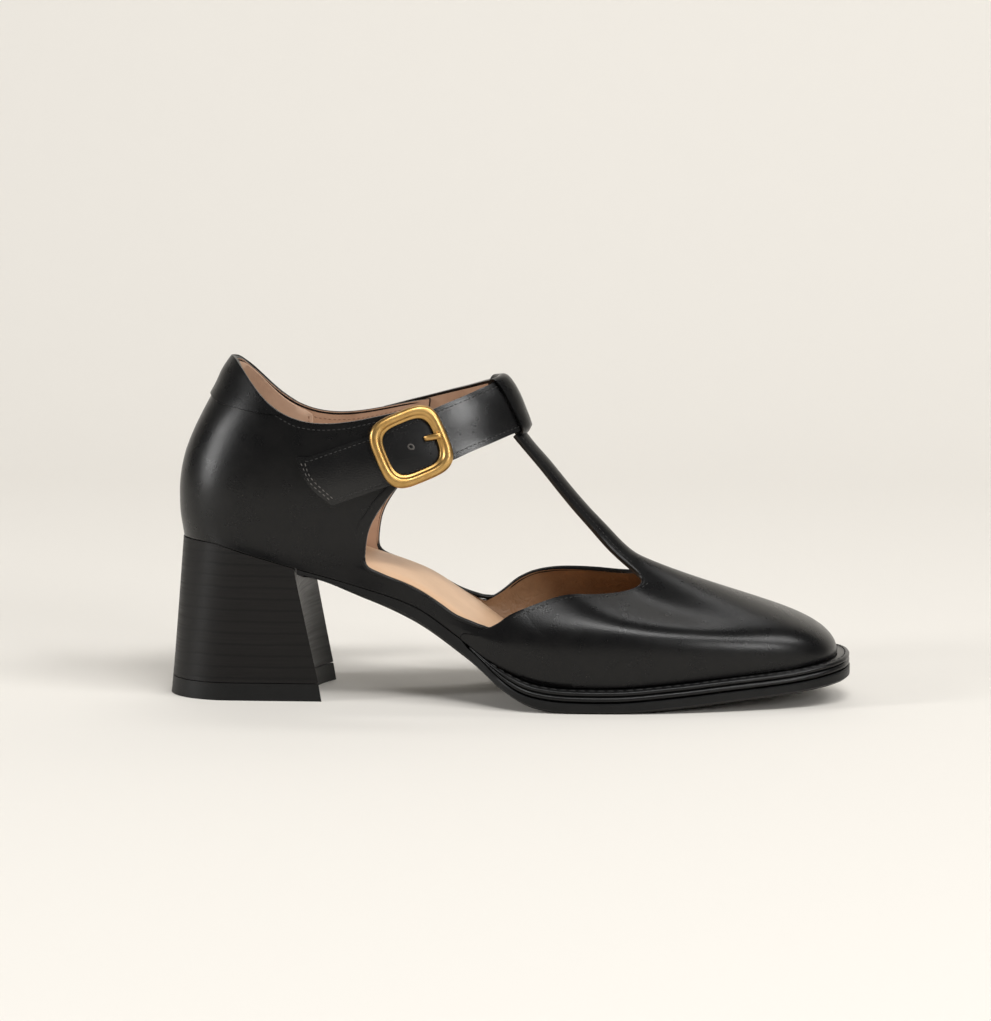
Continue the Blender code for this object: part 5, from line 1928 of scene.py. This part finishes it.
def strap_end_path(inset, reach=0.40):
    shares = np.linspace(-reach, reach, 10)
    place = STRAP_END + inset
    lift = FIT_GAP + STRAP_THICKNESS
    return [on_band_at(place, share, lift) for share in shares]


def below_top(column, distance):
    """The point this far down a column from its top."""
    column = np.array(column)[::-1]
    return spaced(column, lengths_along(column), distance)


def vamp_edge_path(side, drop):
    t_bar_share = VAMP_COLUMNS / (VAMP_COLUMNS + T_BAR_COLUMNS)
    path = []
    for share in np.linspace(0.03, 1.0, 44):
        column = vamp_column(share * t_bar_share * 0.9999, side)[: LOWER_ROWS + 1]
        path.append(below_top(column, drop))
    return path


def t_bar_path(side, inset):
    path = []
    for climb in np.linspace(0.06, 1.0, 30):
        half = T_BAR_WIDTH / 2
        path.append(t_bar_point(inset / half, climb, side))
    return path

# %% [markdown]
# Black thread on the calf, a worn paler thread on the strap's slanted end, and tan thread on the lining.

# %% Sew the seams
on_upper = surface_of(upper, back_tab)
on_upper_only = surface_of(upper, *overlays)
on_band = surface_of(strap)
EDGE_INSET = 0.0018

stitches("collar_stitches", [collar_path(s, 0.0020) for s in SIDES], on_upper, THREAD)
stitches("tab_stitches", [tab_seam_path(s, 0.0014) for s in SIDES], on_upper, THREAD)
quarter_rows = [quarter_front_path(s, EDGE_INSET) for s in SIDES]
stitches("quarter_stitches", quarter_rows, on_upper_only, THREAD)
vamp_rows = [vamp_edge_path(s, EDGE_INSET) for s in SIDES] + [t_bar_path(s, 0.0016) for s in SIDES]
stitches("vamp_stitches", vamp_rows, on_upper_only, THREAD)
ACROSS = STRAP_WIDTH / 2 - 0.0015
strap_rows = [strap_edge_path(side * ACROSS, STRAP_END + 0.003, STRAP_START - 0.001) for side in SIDES]
stitches("strap_stitches", strap_rows, on_band, THREAD)
end_rows = [strap_end_path(0.0016), strap_end_path(0.0030)]
stitches("strap_end_stitches", end_rows, on_band, PALE_THREAD)

# %% [markdown]
# Inside, the grip patch is sewn down along its two ends, and the lining is caught along the collar. These
# seams lie on the lining, so they are snapped to its surface.

# %% Sew the lining


def grip_seam(side):
    heights = np.linspace(-0.0285, -0.002, 16)
    top = level_at(COLLAR_ROWS, GRIP_END)
    path = []
    for rise in heights:
        turn = ring_turn_at((GRIP_END - 0.006) * SHOE_LENGTH, top + rise)
        path.append(lift_off(turn, top + rise, side, -UPPER_WALL - GRIP_THICKNESS))
    return path


on_lining = surface_of(upper, heel_grip)
grip_rows = [grip_seam(side) for side in SIDES]
stitches("grip_stitches", grip_rows, on_lining, TAN_THREAD, pitch=0.0017)
collar_rows = [collar_path(side, 0.0026, -UPPER_WALL - GRIP_THICKNESS)[40:] for side in SIDES]
stitches("collar_lining_stitches", collar_rows, on_lining, TAN_THREAD, width=0.0003)

# %% [markdown]
# A last row joins the welt to the sole, on the welt's top between the upper and the first bead.

# %% Welt stitches


def welt_path(inset):
    def margin(station):
        return max(sole_margin(station) - inset, 0.0008)

    sides = bottom_loop(margin, WELT_START + 0.03, 120)
    loop_line = sides[0] + sides[1][::-1]
    return [[p[0], p[1], float(lower_edge(p[0] / SHOE_LENGTH)) - 1.5 * FIT_GAP] for p in loop_line]


on_welt = surface_of(bottom_pieces[1])
welt_rows = [welt_path(0.0018)]
stitches("welt_stitches", welt_rows, on_welt, THREAD, pitch=0.0034, fill=0.8, width=0.0006)

# %% [markdown]
# The strap has a spare hole inside the buckle. It is a small ring with a sunk middle.

# %% Spare hole


def hole_shape(radius=0.00095, steps=20):
    lift = FIT_GAP + STRAP_THICKNESS + STRAP_PAD
    # radius share and lift of the ring's section
    section = [(0.5, -0.0004), (0.62, 0.00002), (0.85, 0.00022), (1.2, 0.00002)]
    columns = []
    for turn in full_turn(steps):
        column = []
        for share, rise in section:
            along = math.cos(turn) * radius * share
            across = math.sin(turn) * radius * share
            column.append(on_strap(-BUCKLE_PLACE + along, across, lift + rise))
        columns.append(column)
    points, faces = lofted(columns)
    faces.append([i * len(section) for i in range(steps)])
    return points, faces


piece("strap_hole", *hole_shape(), "black_calf", [PALE_THREAD], smooth=60)

# %% [markdown]
# ## Studio
#
# A pale paper sheet lies on the floor and curves up behind the shoe, as in a product studio.

# %% Paper floor and backdrop


def sweep_sheet(depth_front=-9.0, depth_back=1.7, rise=2.2, half_width=6.0, radius=1.0):
    """Floor and backdrop in one curved sheet, as points and faces."""
    profile = [(depth_front, 0.0), (depth_back - radius, 0.0)]
    for step in range(1, 17):
        turn = math.pi / 2 * step / 16
        profile.append((depth_back - radius + radius * math.sin(turn), radius - radius * math.cos(turn)))
    profile.append((depth_back, rise))
    points = [(x, y, z) for y, z in profile for x in (-half_width, half_width)]
    faces = [[2 * i, 2 * i + 1, 2 * i + 3, 2 * i + 2] for i in range(len(profile) - 1)]
    return points, faces


sheet_points, sheet_faces = sweep_sheet()
sheet_mesh = bpy.data.meshes.new("studio_floor")
sheet_mesh.from_pydata(sheet_points, [], sheet_faces)
sheet_mesh.shade_smooth()
paper, _, paper_shader, _ = new_material("warm paper", 0.9)
paper_shader.inputs["Base Color"].default_value = (0.80, 0.77, 0.72, 1.0)
sheet_mesh.materials.append(paper)
studio_floor = add_object("studio_floor", sheet_mesh)

# %% [markdown]
# The camera stands where the picture was taken: low, in front of the outer side, with a long lens.

# %% Camera
CAMERA_TARGET = Vector((-0.0049, 0.0, 0.0677))
CAMERA_DISTANCE = 1.1443
CAMERA_TURN = math.radians(3.7)
CAMERA_HEIGHT = 0.206
CAMERA_LENS = 114.0
camera_data = bpy.data.cameras.new("camera")
camera = add_object("camera", camera_data)
camera.location = (
    CAMERA_TARGET.x + CAMERA_DISTANCE * math.sin(CAMERA_TURN),
    CAMERA_TARGET.y - CAMERA_DISTANCE * math.cos(CAMERA_TURN),
    CAMERA_HEIGHT,
)
camera.rotation_euler = (CAMERA_TARGET - camera.location).to_track_quat("-Z", "Y").to_euler()
camera_data.sensor_fit = "HORIZONTAL"
camera_data.sensor_width = 36.0
camera_data.lens = CAMERA_LENS
bpy.context.scene.camera = camera
print("camera at", tuple(camera.location))

# %% [markdown]
# Each soft box is placed by reflection: a highlight on the counter asks for a lamp on the left, one on the
# strap for a lamp at the front right, and the vamp's band for one above the front. The key from the right
# throws the soft shadow to the left.

# %% Soft boxes and world


def area_light(name, place, target, size, watts, colour=(1.0, 0.995, 0.985)):
    data = bpy.data.lights.new(name, "AREA")
    data.shape = "RECTANGLE"
    data.size, data.size_y = size
    data.energy = watts
    data.color = colour
    lamp = add_object(name, data)
    lamp.location = place
    lamp.rotation_euler = (Vector(target) - Vector(place)).to_track_quat("-Z", "Y").to_euler()
    return lamp


area_light("key", (2.0, -1.1, 2.4), (0.0, 0.0, 0.05), (1.1, 1.1), 37.0)
area_light("above", (0.5, -1.9, 2.8), (0.0, 0.0, 0.04), (1.5, 0.55), 50.0)
area_light("right", (1.35, -1.7, 0.85), (0.0, 0.0, 0.08), (0.4, 0.5), 13.0)
area_light("left", (-2.1, -0.8, 0.65), (-0.08, 0.0, 0.07), (0.35, 1.1), 22.0)
area_light("behind", (0.1, 1.25, 2.6), (0.0, 0.0, 0.1), (1.6, 0.4), 9.0)
world = bpy.data.worlds.new("studio")
world.use_nodes = True
world.node_tree.nodes["Background"].inputs["Color"].default_value = (1.0, 0.99, 0.975, 1.0)
world.node_tree.nodes["Background"].inputs["Strength"].default_value = 0.17
bpy.context.scene.world = world
bpy.context.scene.view_settings.view_transform = "Standard"
